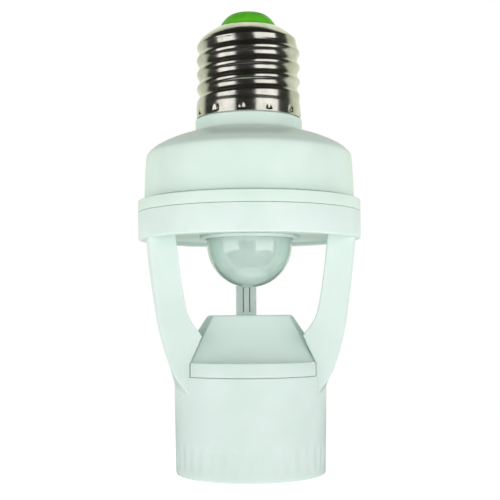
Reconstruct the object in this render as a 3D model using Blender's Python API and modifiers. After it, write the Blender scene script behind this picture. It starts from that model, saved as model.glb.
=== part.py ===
"""A motion sensor lamp holder.

A screw cap on a domed housing, a ball lens under it, and two arms that carry a lamp socket.
"""

import math

import bmesh
import bpy
from mathutils import Matrix, Vector

# All sizes are in metres. The origin is the centre of the socket's mouth, with +Z towards the screw cap.
SEAT = 0.0003  # gap between pieces that seat on each other
EPS = 0.001  # how far a cutter runs past the wall that it cuts
ROUND_STEPS = 40
MEDIUM_STEPS = 28
SMALL_STEPS = 12

# Socket sleeve
SLEEVE_R_MOUTH = 0.0191
SLEEVE_R_TOP = SLEEVE_R_MOUTH + 0.00035
SLEEVE_H = 0.0252
SLEEVE_WALL = 0.00185
SLEEVE_BORE_R = SLEEVE_R_MOUTH - SLEEVE_WALL
SLEEVE_ROUND = 0.0009
SHELF_R = SLEEVE_BORE_R - 0.00135
SHELF_DROP = 0.0087
SHELF_Z = SLEEVE_H - SHELF_DROP
SHELF_T = 0.0012

# Socket cap, a cone with a flat slope front and back
BAND_R = SLEEVE_R_TOP - 0.00005
BAND_H = 0.00355
LEDGE_Z = SLEEVE_H + BAND_H
CONE_H = 0.0116
CONE_TOP_Z = LEDGE_Z + CONE_H
CONE_FOOT_R = BAND_R - 0.0010
CONE_TOP_R = CONE_FOOT_R - 0.0076
FACET_TOP_Y = 0.0053
FACET_FOOT_Y = 0.0103
CONE_ROUND = 0.0006
CORE_R = BAND_R - 0.0020
SOCKET_CAP_WALL = 0.0016
SOCKET_SPIGOT_H = 0.0042
SOCKET_SPIGOT_Z = SLEEVE_H - SOCKET_SPIGOT_H

# Ring that the arms hang from, with the floor inside it
ARM_GAP = 0.0343  # free length of the arms, from the sleeve to the ring
RING_R = 0.02835
RING_Z = SLEEVE_H + ARM_GAP
RING_H = 0.0068
RING_TOP = RING_Z + RING_H
RING_WALL = 0.0019
RIM_R = RING_R - 0.00265
FLOOR_Z = RING_Z + 0.0010
FLOOR_T = 0.0018

# Lens and its bezel
LENS_R = 0.01087
LENS_CENTRE_Z = FLOOR_Z - 0.00225
LENS_WALL = 0.0009
LENS_FLANGE_R = LENS_R + 0.00243
LENS_FLANGE_T = 0.0008
BEZEL_R = LENS_R + 0.0019
BEZEL_T = 0.0005
FLOOR_HOLE_R = LENS_R + 0.00133

# Arms, two channels that open towards the axis
ARM_HALF_WIDTH = 0.01135
ARM_FLANGE_T = 0.0018
ARM_WEB_T = 0.0018
ARM_SINK = 0.0050
ARM_FOOT_Z = SLEEVE_H - ARM_SINK
ARM_FOOT_R = SLEEVE_R_MOUTH - 0.0001
ARM_TOP_R = RING_R - 0.0021
ARM_TOP_Z = RING_Z + RING_WALL
ARM_TOP_DEPTH = 0.00735
ARM_FOOT_X = SLEEVE_R_MOUTH - 0.0036
ARM_NOSE_X = ARM_FOOT_X - 0.0034
ARM_NOSE_Z = LEDGE_Z + 0.0054
ARM_HEEL_Z = LEDGE_Z - 0.0004
ARM_SETBACK = 0.0030  # how far the back flange's edge lies outside the front one's
ARM_FACE = (  # share of the height, fall of the outer face at its ends, corner radius
    (1.0, 0.00075, 0.0016), (0.58, 0.0006, 0.0012), (0.31, 0.00035, 0.00095), (0.18, 0.00035, 0.0008),
    (0.10, 0.0012, 0.0007), (0.053, 0.0024, 0.00045), (0.0, 0.0035, 0.0003),
)

# Dome cover
COVER_WALL = 0.0018
COVER_Z = RING_TOP + SEAT
COVER_BAND_H = 0.00285
COVER_FOOT_R = RING_R - 0.00155
COVER_SIDE_R = RING_R - 0.00215
COVER_SIDE_TOP = (COVER_SIDE_R, COVER_Z + 0.01335)
COVER_CREASE = (COVER_SIDE_R - 0.0009, COVER_Z + 0.0151)
COVER_SLOPE = (
    (COVER_SIDE_R - 0.0027, COVER_Z + 0.0165), (COVER_SIDE_R - 0.0065, COVER_Z + 0.0183),
    (COVER_SIDE_R - 0.0102, COVER_Z + 0.0195),
)
CAP_SKIRT_R = 0.0133
COLLAR_R = CAP_SKIRT_R + 0.0003
COLLAR_Z = COVER_Z + 0.0206
COLLAR_H = 0.0028
COLLAR_TOP = COLLAR_Z + COLLAR_H
LIP_H = 0.0024
SPIGOT_H = 0.0090
SPIGOT_TOP = COLLAR_TOP + SPIGOT_H

# Screw cap
CAP_Z = COLLAR_TOP + SEAT
CAP_SKIRT_H = 0.0057
CAP_SKIRT_TOP = CAP_Z + CAP_SKIRT_H
CAP_WALL = 0.00035
THREAD_PITCH = 0.00362
THREAD_CREST_R = CAP_SKIRT_R - 0.00015
THREAD_ROOT_R = CAP_SKIRT_R - 0.0012
FIRST_CREST_Z = CAP_SKIRT_TOP + 0.0035
CAP_SHOULDER_Z = CAP_Z + 0.0191
CAP_RIM_R = 0.0065
CAP_SHOULDER = (
    (CAP_SKIRT_R - 0.0008, CAP_SHOULDER_Z), (CAP_SKIRT_R - 0.0013, CAP_SHOULDER_Z + 0.00095),
    (CAP_SKIRT_R - 0.0027, CAP_SHOULDER_Z + 0.00205), (CAP_SKIRT_R - 0.0048, CAP_SHOULDER_Z + 0.0036),
    (CAP_RIM_R, CAP_SHOULDER_Z + 0.00445),
)
INSULATOR_TOP_Z = CAP_SHOULDER_Z + 0.0076
INSULATOR_FLANGE_R = CAP_RIM_R + 0.0004
CONTACT_HEAD_R = 0.0021
CONTACT_HEAD_T = 0.0004
CONTACT_DISH = 0.0006  # depth of the dish round the contact
CONTACT_PIN_R = 0.0010

# Circuit board and what it carries, places as (x, y) and sizes as (x, y, z)
BOARD_R = RING_R - RING_WALL - 0.00285
BOARD_T = 0.0016
BOSS_H = 0.0031
BOSS_R = 0.0028
BOSS_CIRCLE_R = BOARD_R - 0.0036
BOSS_ANGLES = (45.0, 135.0, 270.0)
SCREW_CORE_R = 0.0011
SCREW_HEAD_R = 0.0025
SCREW_HEAD_H = 0.0014
SCREW_LENGTH = 0.0046
SENSOR_R = 0.0046
SENSOR_H = 0.0040
WINDOW_SIZE = (0.0040, 0.0030, 0.0004)
SPACER_R = 0.0050
SPACER_H = 0.0046
RELAY_PLACE = (BOARD_R - 0.0136, 0.0)
RELAY_SIZE = (0.0150, 0.0190, 0.0130)
FILM_CAPACITOR_PLACE = (0.0071 - BOARD_R, 0.0)
FILM_CAPACITOR_SIZE = (0.0060, 0.0130, 0.0110)
RECTIFIER_PLACE = (-0.0080, 0.0096 - BOARD_R)
RECTIFIER_SIZE = (0.0084, 0.0062, 0.0030)
CHIP_PLACE = (-0.0055, BOARD_R - 0.0111)
CHIP_SIZE = (0.0100, 0.0062, 0.0030)
BLOCK_ROUND = 0.0004
FILTER_CAPACITOR_PLACE = (0.0070, 0.0086 - BOARD_R)
FILTER_CAPACITOR_R = 0.0040
FILTER_CAPACITOR_H = 0.0115
FUSE_PLACE = (0.0075, BOARD_R - 0.0086)
FUSE_R = 0.0021
FUSE_H = 0.0095
LIGHT_SENSOR_X = 0.0074
LIGHT_SENSOR_R = 0.0015
LIGHT_SENSOR_H = 0.0040
LEAD_R = 0.0006
LEAD_X = 0.0070  # where the screw cap's leads run beside the relay

# Wire duct behind the lens
DUCT_W = 0.0054
DUCT_GAP = 0.0020  # between the lens bezel and the duct
DUCT_DEPTH = 0.0046
DUCT_BACK_Y = BEZEL_R + DUCT_GAP + DUCT_DEPTH
DUCT_BACK_T = 0.0008
DUCT_GROOVE_W = 0.0023
DUCT_COVER_W = 0.0017
DUCT_COVER_T = 0.0008
DUCT_HEAD_T = 0.0008
DUCT_HEAD_MARGIN = 0.0009
BRIDGE_Z = CONE_TOP_Z + 0.00045
BRIDGE_W = 0.0040
BRIDGE_H = 0.0007

# Lamp socket inside the sleeve
INSERT_T = 0.0026
LAMP_THREAD_CREST_R = 0.0134
LAMP_THREAD_ROOT_R = LAMP_THREAD_CREST_R - 0.00105
LAMP_SHELL_WALL = 0.00035
LAMP_SHELL_MOUTH_Z = 0.0026
LAMP_FLANGE_R = 0.0072
TONGUE_W = 0.0050
TONGUE_T = 0.0005
TONGUE_FIX_Y = 0.0042
TONGUE_FIX_LENGTH = 0.0048
TONGUE_DROP = 0.0040
RIVET_R = 0.0010
RIVET_HEAD_R = 0.0018
RIVET_HEAD_T = 0.0006
SHELL_RIVET_X = 0.0100
TERMINAL_T = 0.0005
TERMINAL_W = 0.0044
TERMINAL_REACH = 0.0052

# Places worked out from the sizes above
FLOOR_TOP = FLOOR_Z + FLOOR_T
RING_BORE_R = RING_R - RING_WALL
COVER_BAND_TOP = COVER_Z + COVER_BAND_H
LIP_R = RING_BORE_R - SEAT
BOARD_Z = FLOOR_TOP + BOSS_H + SEAT
BOARD_TOP = BOARD_Z + BOARD_T
PARTS_Z = BOARD_TOP + SEAT
SPACER_Z = BOARD_Z - SEAT - SPACER_H
SENSOR_Z = SPACER_Z - SEAT - SENSOR_H
DUCT_FRONT_Y = DUCT_BACK_Y - DUCT_DEPTH
DUCT_Z = SLEEVE_H + SEAT
SHELF_TOP = SHELF_Z + SHELF_T
INSERT_Z = SHELF_TOP + SEAT
INSERT_TOP = INSERT_Z + INSERT_T
TONGUE_TIP_Z = INSERT_Z - TONGUE_DROP
CAP_SPIGOT_R = SLEEVE_BORE_R - SEAT
BAND_HALF_WIDTH = ARM_FOOT_X - SEAT
SPIGOT_R = CAP_SKIRT_R - CAP_WALL - SEAT
SPIGOT_TIP_R = THREAD_ROOT_R - CAP_WALL - SEAT


def clearScene():
    for item in list(bpy.data.objects):
        bpy.data.objects.remove(item, do_unlink=True)


def makeCollection(name, hidden=False):
    found = bpy.data.collections.new(name)
    bpy.context.scene.collection.children.link(found)
    found.hide_render = hidden
    return found


def material(name, colour, roughness, metallic=0.0):
    made = bpy.data.materials.new(name)
    made.use_nodes = True
    shader = made.node_tree.nodes["Principled BSDF"]
    shader.inputs["Base Color"].default_value = (*colour, 1.0)
    shader.inputs["Roughness"].default_value = roughness
    shader.inputs["Metallic"].default_value = metallic
    return made


clearScene()
PARTS = makeCollection("motion_sensor_lamp_holder")
CUTTERS = makeCollection("cutters", hidden=True)
WHITE_PLASTIC = material("white_plastic", (0.73, 0.84, 0.78), 0.35)
LENS_PLASTIC = material("lens_plastic", (0.55, 0.68, 0.62), 0.3)
NICKEL = material("nickel", (0.70, 0.68, 0.63), 0.2, 1.0)
BRASS = material("brass", (0.75, 0.58, 0.28), 0.3, 1.0)
GREEN_INSULATOR = material("green_insulator", (0.09, 0.47, 0.02), 0.3)
BOARD_GREEN = material("board_green", (0.02, 0.16, 0.06), 0.5)
BLACK_PLASTIC = material("black_plastic", (0.02, 0.02, 0.02), 0.5)
BLUE_PLASTIC = material("blue_plastic", (0.03, 0.12, 0.45), 0.4)
RED_SLEEVING = material("red_sleeving", (0.5, 0.02, 0.02), 0.5)
PALE_CERAMIC = material("pale_ceramic", (0.75, 0.72, 0.64), 0.5)


def addObject(name, mesh, finish=None):
    """A part where a finish is given, or a cutter where none is."""
    made = bpy.data.objects.new(name, mesh)
    if finish is None:
        CUTTERS.objects.link(made)
        made.hide_render = True
        made.display_type = "WIRE"
    else:
        PARTS.objects.link(made)
        made.data.materials.append(finish)
    return made


def turned(name, profile, finish=None, steps=ROUND_STEPS, closed=True):
    """A profile of (radius, height), down its outer side, turned about Z by a Screw modifier."""
    mesh = bpy.data.meshes.new(name)
    edges = [(i, i + 1) for i in range(len(profile) - 1)]
    if closed:
        edges.append((len(profile) - 1, 0))
    mesh.from_pydata([(r, 0.0, z) for r, z in profile], edges, [])
    made = addObject(name, mesh, finish)
    screw = made.modifiers.new("turn", "SCREW")
    screw.steps = screw.render_steps = steps
    screw.use_merge_vertices = True
    screw.merge_threshold = 1e-6
    screw.use_smooth_shade = True
    return made


def plain(item):
    """The object's modifiers applied to its mesh, with doubles welded, so that it can be cut or joined."""
    graph = bpy.context.evaluated_depsgraph_get()
    mesh = bpy.data.meshes.new_from_object(item.evaluated_get(graph))
    work = bmesh.new()
    work.from_mesh(mesh)
    bmesh.ops.remove_doubles(work, verts=work.verts, dist=1e-7)
    work.to_mesh(mesh)
    work.free()
    item.modifiers.clear()
    item.data = mesh
    return item


def extruded(name, outline, depth, turn, finish=None):
    """A flat outline filled as a 2D curve and extruded evenly about its plane, which turn places."""
    curve = bpy.data.curves.new(name, "CURVE")
    curve.dimensions = "2D"
    curve.fill_mode = "BOTH"
    curve.extrude = depth / 2
    spline = curve.splines.new("POLY")
    spline.points.add(len(outline) - 1)
    for point, (u, v) in zip(spline.points, outline):
        point.co = (u, v, 0.0, 1.0)
    spline.use_cyclic_u = True
    guide = bpy.data.objects.new(name + "_outline", curve)
    CUTTERS.objects.link(guide)
    bpy.context.view_layer.update()
    graph = bpy.context.evaluated_depsgraph_get()
    mesh = bpy.data.meshes.new_from_object(guide.evaluated_get(graph))
    bpy.data.objects.remove(guide, do_unlink=True)
    mesh.transform(turn)
    work = bmesh.new()
    work.from_mesh(mesh)
    bmesh.ops.remove_doubles(work, verts=work.verts, dist=1e-7)
    bmesh.ops.recalc_face_normals(work, faces=work.faces)
    work.to_mesh(mesh)
    work.free()
    return addObject(name, mesh, finish)


def box(name, low, high, finish=None):
    """A box between two corners."""
    mesh = bpy.data.meshes.new(name)
    work = bmesh.new()
    bmesh.ops.create_cube(work, size=1.0)
    size = [b - a for a, b in zip(low, high)]
    middle = [(a + b) / 2 for a, b in zip(low, high)]
    bmesh.ops.scale(work, vec=size, verts=work.verts)
    bmesh.ops.translate(work, vec=middle, verts=work.verts)
    work.to_mesh(mesh)
    work.free()
    return addObject(name, mesh, finish)


def pin(name, radius, low, high, place=(0.0, 0.0), finish=None, steps=SMALL_STEPS):
    """A round bar standing at a place, from one height to another."""
    mesh = bpy.data.meshes.new(name)
    work = bmesh.new()
    bmesh.ops.create_cone(
        work, cap_ends=True, segments=steps, radius1=radius, radius2=radius, depth=high - low,
        matrix=Matrix.Translation((place[0], place[1], (low + high) / 2)),
    )
    work.to_mesh(mesh)
    work.free()
    return addObject(name, mesh, finish)


def combine(item, other, operation):
    """A Boolean on the item, which is then made plain. A cutter may serve again."""
    change = item.modifiers.new(operation.lower(), "BOOLEAN")
    change.operation = operation
    change.solver = "EXACT"
    change.object = other
    bpy.context.view_layer.update()
    return plain(item)


def cut(item, *cutters):
    for cutter in cutters:
        combine(item, cutter, "DIFFERENCE")
    return item


def join(item, *others):
    for other in others:
        combine(item, other, "UNION")
    return item


def rounded(item, width, segments=1):
    bevel = item.modifiers.new("edges", "BEVEL")
    bevel.width = width
    bevel.segments = segments
    bevel.limit_method = "ANGLE"
    bevel.angle_limit = math.radians(50)
    return item


def smoothCurve(points, pieces):
    """Points along a smooth curve through the given ones."""
    points = [Vector(p) for p in points]
    ends = [2 * points[0] - points[1], *points, 2 * points[-1] - points[-2]]
    found = []
    for a, b, c, d in zip(ends, ends[1:], ends[2:], ends[3:]):
        for step in range(pieces):
            t = step / pieces
            bend = 2 * a - 5 * b + 4 * c - d
            twist = 3 * b - a - 3 * c + d
            found.append(0.5 * (2 * b + (c - a) * t + bend * t**2 + twist * t**3))
    return [tuple(p) for p in [*found, points[-1]]]


def between(low, high, shares):
    """A smooth curve through points that are given as shares of the way from one corner to another."""
    points = [tuple(a + (b - a) * share for a, b, share in zip(low, high, pair)) for pair in shares]
    return smoothCurve(points, 2)


def arcPoints(centre, radius, start, end, pieces):
    """Points of a round stretch, from one angle to another in degrees."""
    angles = [math.radians(start + (end - start) * i / pieces) for i in range(pieces + 1)]
    return [(centre[0] + radius * math.cos(a), centre[1] + radius * math.sin(a)) for a in angles]


def tube(name, route, radius, finish, pieces=3):
    """A lead along a smooth curve through its route."""
    curve = bpy.data.curves.new(name, "CURVE")
    curve.dimensions = "3D"
    curve.bevel_depth = radius
    curve.bevel_resolution = 1
    curve.use_fill_caps = True
    points = smoothCurve(route, pieces)
    spline = curve.splines.new("POLY")
    spline.points.add(len(points) - 1)
    for point, place in zip(spline.points, points):
        point.co = (*place, 1.0)
    made = bpy.data.objects.new(name, curve)
    PARTS.objects.link(made)
    curve.materials.append(finish)
    return made


def threadedShell(name, above, below, crest, root, low, high, start, wall, finish, steps=MEDIUM_STEPS):
    """A rolled sheet shell with a helical thread. Its rows climb with the helix, and stop at two level rings.

    above and below are the plain profiles, as (radius, height), that the thread joins, top to bottom.
    """
    rows_per_turn = 4
    shape = (0.0, 0.5, 1.0, 0.5)
    work = bmesh.new()

    def column(i):
        angle = 2 * math.pi * i / steps
        places = [(r, z) for r, z in reversed(below)]
        first = math.floor((low - start) / THREAD_PITCH) * rows_per_turn
        last = math.ceil((high - start) / THREAD_PITCH + 1) * rows_per_turn
        for row in range(first, last + 1):
            z = start + THREAD_PITCH * (row / rows_per_turn + i / steps - 1)
            level = min(max(z, low), high)
            fade = min(1.0, (level - low) / THREAD_PITCH * 2, (high - level) / THREAD_PITCH * 2)
            radius = root + (crest - root) * shape[row % rows_per_turn] * fade
            places.append((radius, level))
        places += list(reversed(above))
        return [work.verts.new((r * math.cos(angle), r * math.sin(angle), z)) for r, z in places]

    columns = [column(i) for i in range(steps + 1)]
    for left, right in zip(columns, columns[1:]):
        for a, b, c, d in zip(left, right, right[1:], left[1:]):
            work.faces.new((a, b, c, d))
    bmesh.ops.remove_doubles(work, verts=work.verts, dist=1e-6)
    mesh = bpy.data.meshes.new(name)
    work.to_mesh(mesh)
    work.free()
    made = addObject(name, mesh, finish)
    thicken = made.modifiers.new("wall", "SOLIDIFY")
    thicken.thickness = wall
    thicken.offset = -1.0
    return made


# A curve's plane turned to stand along X and Z, and along Y and Z
ALONG_XZ = Matrix.Rotation(math.radians(90), 4, "X")
ALONG_YZ = Matrix.Rotation(math.radians(90), 4, "Z") @ ALONG_XZ


def makeScrewShell():
    below = ((CAP_SKIRT_R, CAP_SKIRT_TOP - 0.0006), (CAP_SKIRT_R, CAP_Z))
    start = FIRST_CREST_Z - THREAD_PITCH / 2
    return threadedShell(
        "screw_shell", tuple(reversed(CAP_SHOULDER[1:])), below, THREAD_CREST_R, THREAD_ROOT_R,
        CAP_SKIRT_TOP, CAP_SHOULDER_Z, start, CAP_WALL, NICKEL,
    )


def makeInsulator():
    """The insulator fills the shell's shoulder from inside and shows above its rim."""
    rim_r, rim_z = CAP_SHOULDER[-1]
    neck_r = rim_r - CAP_WALL - SEAT
    flange_z = rim_z + SEAT
    inside = [(r - CAP_WALL - 2 * SEAT, z - CAP_WALL - SEAT) for r, z in reversed(CAP_SHOULDER[1:-1])]
    base_z = CAP_SHOULDER_Z - 2 * SEAT
    dish_z = INSULATOR_TOP_Z - CONTACT_DISH
    dish_r = CONTACT_HEAD_R + SEAT
    profile = [
        (CONTACT_PIN_R + SEAT, dish_z), (dish_r, dish_z), (dish_r + 0.0003, INSULATOR_TOP_Z),
        (CAP_RIM_R - 0.0031, INSULATOR_TOP_Z), (CAP_RIM_R - 0.0024, INSULATOR_TOP_Z - 0.00012),
        (CAP_RIM_R - 0.0017, INSULATOR_TOP_Z - 0.0006), (CAP_RIM_R - 0.0010, INSULATOR_TOP_Z - 0.00115),
        (CAP_RIM_R - 0.0004, INSULATOR_TOP_Z - 0.0018), (CAP_RIM_R + 0.0001, INSULATOR_TOP_Z - 0.0025),
        (INSULATOR_FLANGE_R, flange_z + SEAT / 2), (INSULATOR_FLANGE_R, flange_z),
        (neck_r, flange_z), (neck_r, inside[0][1] + SEAT), *inside, (inside[-1][0], base_z),
        (CONTACT_PIN_R + SEAT, base_z),
    ]
    return turned("insulator", profile, GREEN_INSULATOR, MEDIUM_STEPS)


def makeCentreContact():
    """A rivet through the insulator: its flat head is what the lamp socket's spring touches."""
    head_z = INSULATOR_TOP_Z - CONTACT_DISH + SEAT
    tail_z = CAP_SHOULDER_Z - 0.0014
    profile = [
        (0.0, head_z + CONTACT_HEAD_T), (CONTACT_HEAD_R - 0.0002, head_z + CONTACT_HEAD_T),
        (CONTACT_HEAD_R, head_z), (CONTACT_PIN_R, head_z), (CONTACT_PIN_R, tail_z), (0.0, tail_z),
    ]
    return turned("centre_contact", profile, NICKEL, SMALL_STEPS, closed=False)


def makeDomeCover():
    """One moulding: spigot, collar, dome, the upper band of the ring and the lip that fits inside it."""
    slope = [COVER_CREASE, *COVER_SLOPE]
    inside_slope = [(r - COVER_WALL * 0.5, z - COVER_WALL) for r, z in slope[::2]]
    neck_bore = SPIGOT_TIP_R - COVER_WALL
    step_z = CAP_SKIRT_TOP - 0.0006
    corner = 0.0005
    profile = [
        (SPIGOT_TIP_R, SPIGOT_TOP), (SPIGOT_TIP_R, step_z), (SPIGOT_R, step_z - 0.0006),
        (SPIGOT_R, COLLAR_TOP),
        (COLLAR_R, COLLAR_TOP), (COLLAR_R, COLLAR_Z), (COLLAR_R + 0.0005, COLLAR_Z - 0.0006),
        *reversed(slope), (COVER_SIDE_TOP[0] - 0.0003, COVER_SIDE_TOP[1] + 0.0010), COVER_SIDE_TOP,
        (COVER_FOOT_R, COVER_BAND_TOP), (RING_R - corner, COVER_BAND_TOP), (RING_R, COVER_BAND_TOP - corner),
        (RING_R, COVER_Z), (LIP_R, COVER_Z), (LIP_R, COVER_Z - LIP_H), (LIP_R - COVER_WALL, COVER_Z - LIP_H),
        (LIP_R - COVER_WALL, COVER_BAND_TOP), (COVER_SIDE_TOP[0] - COVER_WALL, COVER_SIDE_TOP[1]),
        *inside_slope, (neck_bore, COLLAR_Z - 0.0028), (neck_bore, SPIGOT_TOP),
    ]
    return turned("dome_cover", profile, WHITE_PLASTIC)


def facetCutter(name, inwards, floor_z):
    """What lies in front of the two sloping faces. inwards moves the slope in by a wall."""
    rise = CONE_TOP_Z - LEDGE_Z
    lean = (FACET_FOOT_Y - FACET_TOP_Y) / rise
    shift = inwards * math.sqrt(1 + lean**2)
    top_z = CONE_TOP_Z + 4 * EPS
    far = BAND_R + 4 * EPS

    def slope_y(z):
        return FACET_FOOT_Y - shift - lean * (z - LEDGE_Z)

    outline = [(slope_y(floor_z), floor_z), (far, floor_z), (far, top_z), (slope_y(top_z), top_z)]
    cutter = extruded(name, outline, 4 * BAND_R, ALONG_YZ)
    mirror = cutter.modifiers.new("back", "MIRROR")
    mirror.use_axis = (False, True, False)
    mirror.merge_threshold = 1e-6
    bpy.context.view_layer.update()
    return plain(cutter)


def makeSocketCap():
    """The hollow cone that closes the sleeve: a slope and a ledge front and back, and the duct's slot."""
    lean = (CONE_FOOT_R - CONE_TOP_R) / (CONE_TOP_Z - LEDGE_Z)
    step_z = LEDGE_Z + EPS
    cone = plain(turned("socket_cap", [
        (0.0, CONE_TOP_Z), (CONE_TOP_R - CONE_ROUND, CONE_TOP_Z),
        (CONE_TOP_R + 0.0001, CONE_TOP_Z - CONE_ROUND),
        (CONE_FOOT_R - EPS * lean, step_z), (BAND_R, step_z), (BAND_R, SLEEVE_H + SEAT),
        (CAP_SPIGOT_R, SLEEVE_H + SEAT), (CAP_SPIGOT_R, SOCKET_SPIGOT_Z), (0.0, SOCKET_SPIGOT_Z),
    ], WHITE_PLASTIC, closed=False))
    far = BAND_R + EPS
    sides = turned("cap_sides", [
        (far, step_z + EPS), (far, SLEEVE_H), (CORE_R, SLEEVE_H), (CORE_R, step_z + EPS),
    ])
    slab = box("band_slab", (-BAND_HALF_WIDTH, -far - EPS, 0.0), (BAND_HALF_WIDTH, far + EPS, CONE_TOP_Z))
    cut(plain(sides), slab)
    cut(cone, facetCutter("facets", 0.0, LEDGE_Z), sides)

    wall = SOCKET_CAP_WALL
    inside_foot_z = LEDGE_Z - wall
    bore = CAP_SPIGOT_R - wall
    hollow = turned("cap_hollow", [
        (0.0, CONE_TOP_Z - wall), (CONE_TOP_R - wall, CONE_TOP_Z - wall),
        (bore, CONE_TOP_Z - wall - (bore - CONE_TOP_R + wall) / lean), (bore, SOCKET_SPIGOT_Z - EPS),
        (0.0, SOCKET_SPIGOT_Z - EPS),
    ], closed=False)
    cut(plain(hollow), facetCutter("inner_facets", wall, inside_foot_z))
    cut(cone, hollow)
    half = DUCT_W / 2 + SEAT
    slot = box("duct_slot", (-half, DUCT_FRONT_Y - SEAT, SOCKET_SPIGOT_Z - EPS), (half, far, LEDGE_Z + EPS))
    return cut(cone, slot)


def capClearance():
    """The space that the socket cap's cone needs between the arms' flanges."""
    gap = 1.5 * SEAT
    return plain(turned("cap_clearance", [
        (0.0, CONE_TOP_Z + gap), (CONE_TOP_R + gap, CONE_TOP_Z + gap), (CONE_FOOT_R + gap, LEDGE_Z),
        (CONE_FOOT_R, SLEEVE_H), (CORE_R, SLEEVE_H), (CORE_R, SLEEVE_H - 2 * EPS), (0.0, SLEEVE_H - 2 * EPS),
    ], closed=False))


def valuesAt(line, z):
    """The values that go with a height. Each entry ends in its height, and the line runs downwards."""
    for above, below in zip(line, line[1:]):
        if below[-1] <= z <= above[-1]:
            share = (z - below[-1]) / (above[-1] - below[-1])
            return [low + (high - low) * share for high, low in zip(above, below)]
    return line[0] if z > line[0][-1] else line[-1]


def armLevel(outer, fall, corner, front, back):
    """One level of an arm: a U that opens towards the axis, with a nearly flat outer face."""
    half = ARM_HALF_WIDTH
    inner_half = half - ARM_FLANGE_T

    def face_x(y):
        return outer - fall * (y / half) ** 2

    end_x = face_x(half - corner)
    limit = min(end_x - corner, face_x(inner_half) - ARM_WEB_T) - SEAT / 2
    front, back = min(front, limit), min(back, limit)
    rounding = [
        (end_x - corner * (1 - math.cos(math.radians(a))), half - corner * (1 - math.sin(math.radians(a))))
        for a in (30, 60, 90)
    ]
    steps = (1.0, 0.5, 0.0, -0.5, -1.0)
    face = [(face_x(y), y) for y in [(half - corner) * step for step in reversed(steps)]]
    inside = [(face_x(y) - ARM_WEB_T, y) for y in [inner_half * step for step in steps]]
    return [
        (front, -half), *[(x, -y) for x, y in reversed(rounding)], *face, *rounding,
        (back, half), (back, inner_half), *inside, (front, -inner_half),
    ]


def makeArms():
    """Both arms: levels of a U section, from inside the sleeve's wall to inside the ring."""
    foot = (ARM_FOOT_R, ARM_FOOT_Z)
    outer = between(foot, (ARM_TOP_R, ARM_TOP_Z), (
        (1.0, 1.0), (0.9655, 0.8689), (0.8414, 0.6845), (0.6483, 0.4563), (0.4414, 0.3022),
        (0.2207, 0.1820), (0.0414, 0.0534), (0.0, 0.0),
    ))
    inner = between((ARM_NOSE_X, ARM_NOSE_Z), (ARM_TOP_R - ARM_TOP_DEPTH, ARM_TOP_Z), (
        (1.0, 1.0), (0.8676, 0.6917), (0.7206, 0.4349), (0.5588, 0.2367), (0.3382, 0.1339), (0.0882, 0.0569),
    ))
    edge = [*inner, (ARM_NOSE_X, ARM_NOSE_Z), (ARM_FOOT_X, ARM_HEEL_Z), (ARM_FOOT_X, ARM_FOOT_Z)]
    height = ARM_TOP_Z - ARM_FOOT_Z
    face = [(fall, corner, ARM_FOOT_Z + share * height) for share, fall, corner in ARM_FACE]
    shares = [*[entry[0] for entry in ARM_FACE], 0.025, 0.075, 0.14, *[0.38 + 0.04 * i for i in range(5)],
              0.64, 0.70, 0.76, 0.82, 0.88, 0.94]
    levels = sorted([ARM_FOOT_Z + share * height for share in shares] + [ARM_HEEL_Z, ARM_NOSE_Z])
    rows = []
    for z in levels:
        fall, corner, _ = valuesAt(face, z)
        front = valuesAt(edge, z)[0]
        back = max(ARM_FOOT_X, front + ARM_SETBACK) if z >= ARM_NOSE_Z else ARM_FOOT_X
        rows.append([(x, y, z) for x, y in armLevel(valuesAt(outer, z)[0], fall, corner, front, back)])
    count = len(rows[0])
    faces = [tuple(reversed(range(count))), tuple(range((len(rows) - 1) * count, len(rows) * count))]
    for row in range(len(rows) - 1):
        for i in range(count):
            a, b = row * count + i, row * count + (i + 1) % count
            faces.append((a, b, b + count, a + count))
    mesh = bpy.data.meshes.new("arms")
    mesh.from_pydata([place for row in rows for place in row], [], faces)
    arms = addObject("arms", mesh)
    mirror = arms.modifiers.new("left", "MIRROR")
    mirror.use_axis = (True, False, False)
    mirror.merge_threshold = 1e-6
    bpy.context.view_layer.update()
    return cut(plain(arms), capClearance())


def bossPlaces():
    angles = [math.radians(a) for a in BOSS_ANGLES]
    return [(BOSS_CIRCLE_R * math.cos(a), BOSS_CIRCLE_R * math.sin(a)) for a in angles]


def makeCage():
    """The lower housing in one moulding: ring, floor with bosses, two arms and the socket sleeve."""
    cage = plain(turned("cage", [
        (RING_R, RING_TOP), (RING_R, RING_Z), (RIM_R, RING_Z), (RIM_R, FLOOR_Z), (FLOOR_HOLE_R, FLOOR_Z),
        (FLOOR_HOLE_R, FLOOR_TOP), (RING_BORE_R, FLOOR_TOP), (RING_BORE_R, RING_TOP),
    ], WHITE_PLASTIC))
    mouth = arcPoints((SLEEVE_R_MOUTH - SLEEVE_ROUND, SLEEVE_ROUND), SLEEVE_ROUND, 0, -90, 2)
    sleeve = plain(turned("sleeve_blank", [
        (SLEEVE_R_TOP, SLEEVE_H), *mouth, (SLEEVE_BORE_R, 0.0), (SLEEVE_BORE_R, SHELF_Z), (SHELF_R, SHELF_Z),
        (SHELF_R, SHELF_TOP), (SLEEVE_BORE_R, SHELF_TOP), (SLEEVE_BORE_R, SLEEVE_H),
    ]))
    join(cage, makeArms(), sleeve)
    for number, place in enumerate(bossPlaces(), 1):
        join(cage, pin(f"boss_{number}", BOSS_R, FLOOR_Z + FLOOR_T / 2, FLOOR_TOP + BOSS_H, place))
        cut(cage, pin(f"boss_hole_{number}", SCREW_CORE_R + SEAT, FLOOR_TOP, FLOOR_TOP + BOSS_H + EPS, place))
    half = DUCT_W / 2 + SEAT
    hole = box(
        "duct_hole", (-half, DUCT_FRONT_Y - SEAT, FLOOR_Z - EPS), (half, DUCT_BACK_Y + SEAT, FLOOR_TOP + EPS)
    )
    return cut(cage, hole)


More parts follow.
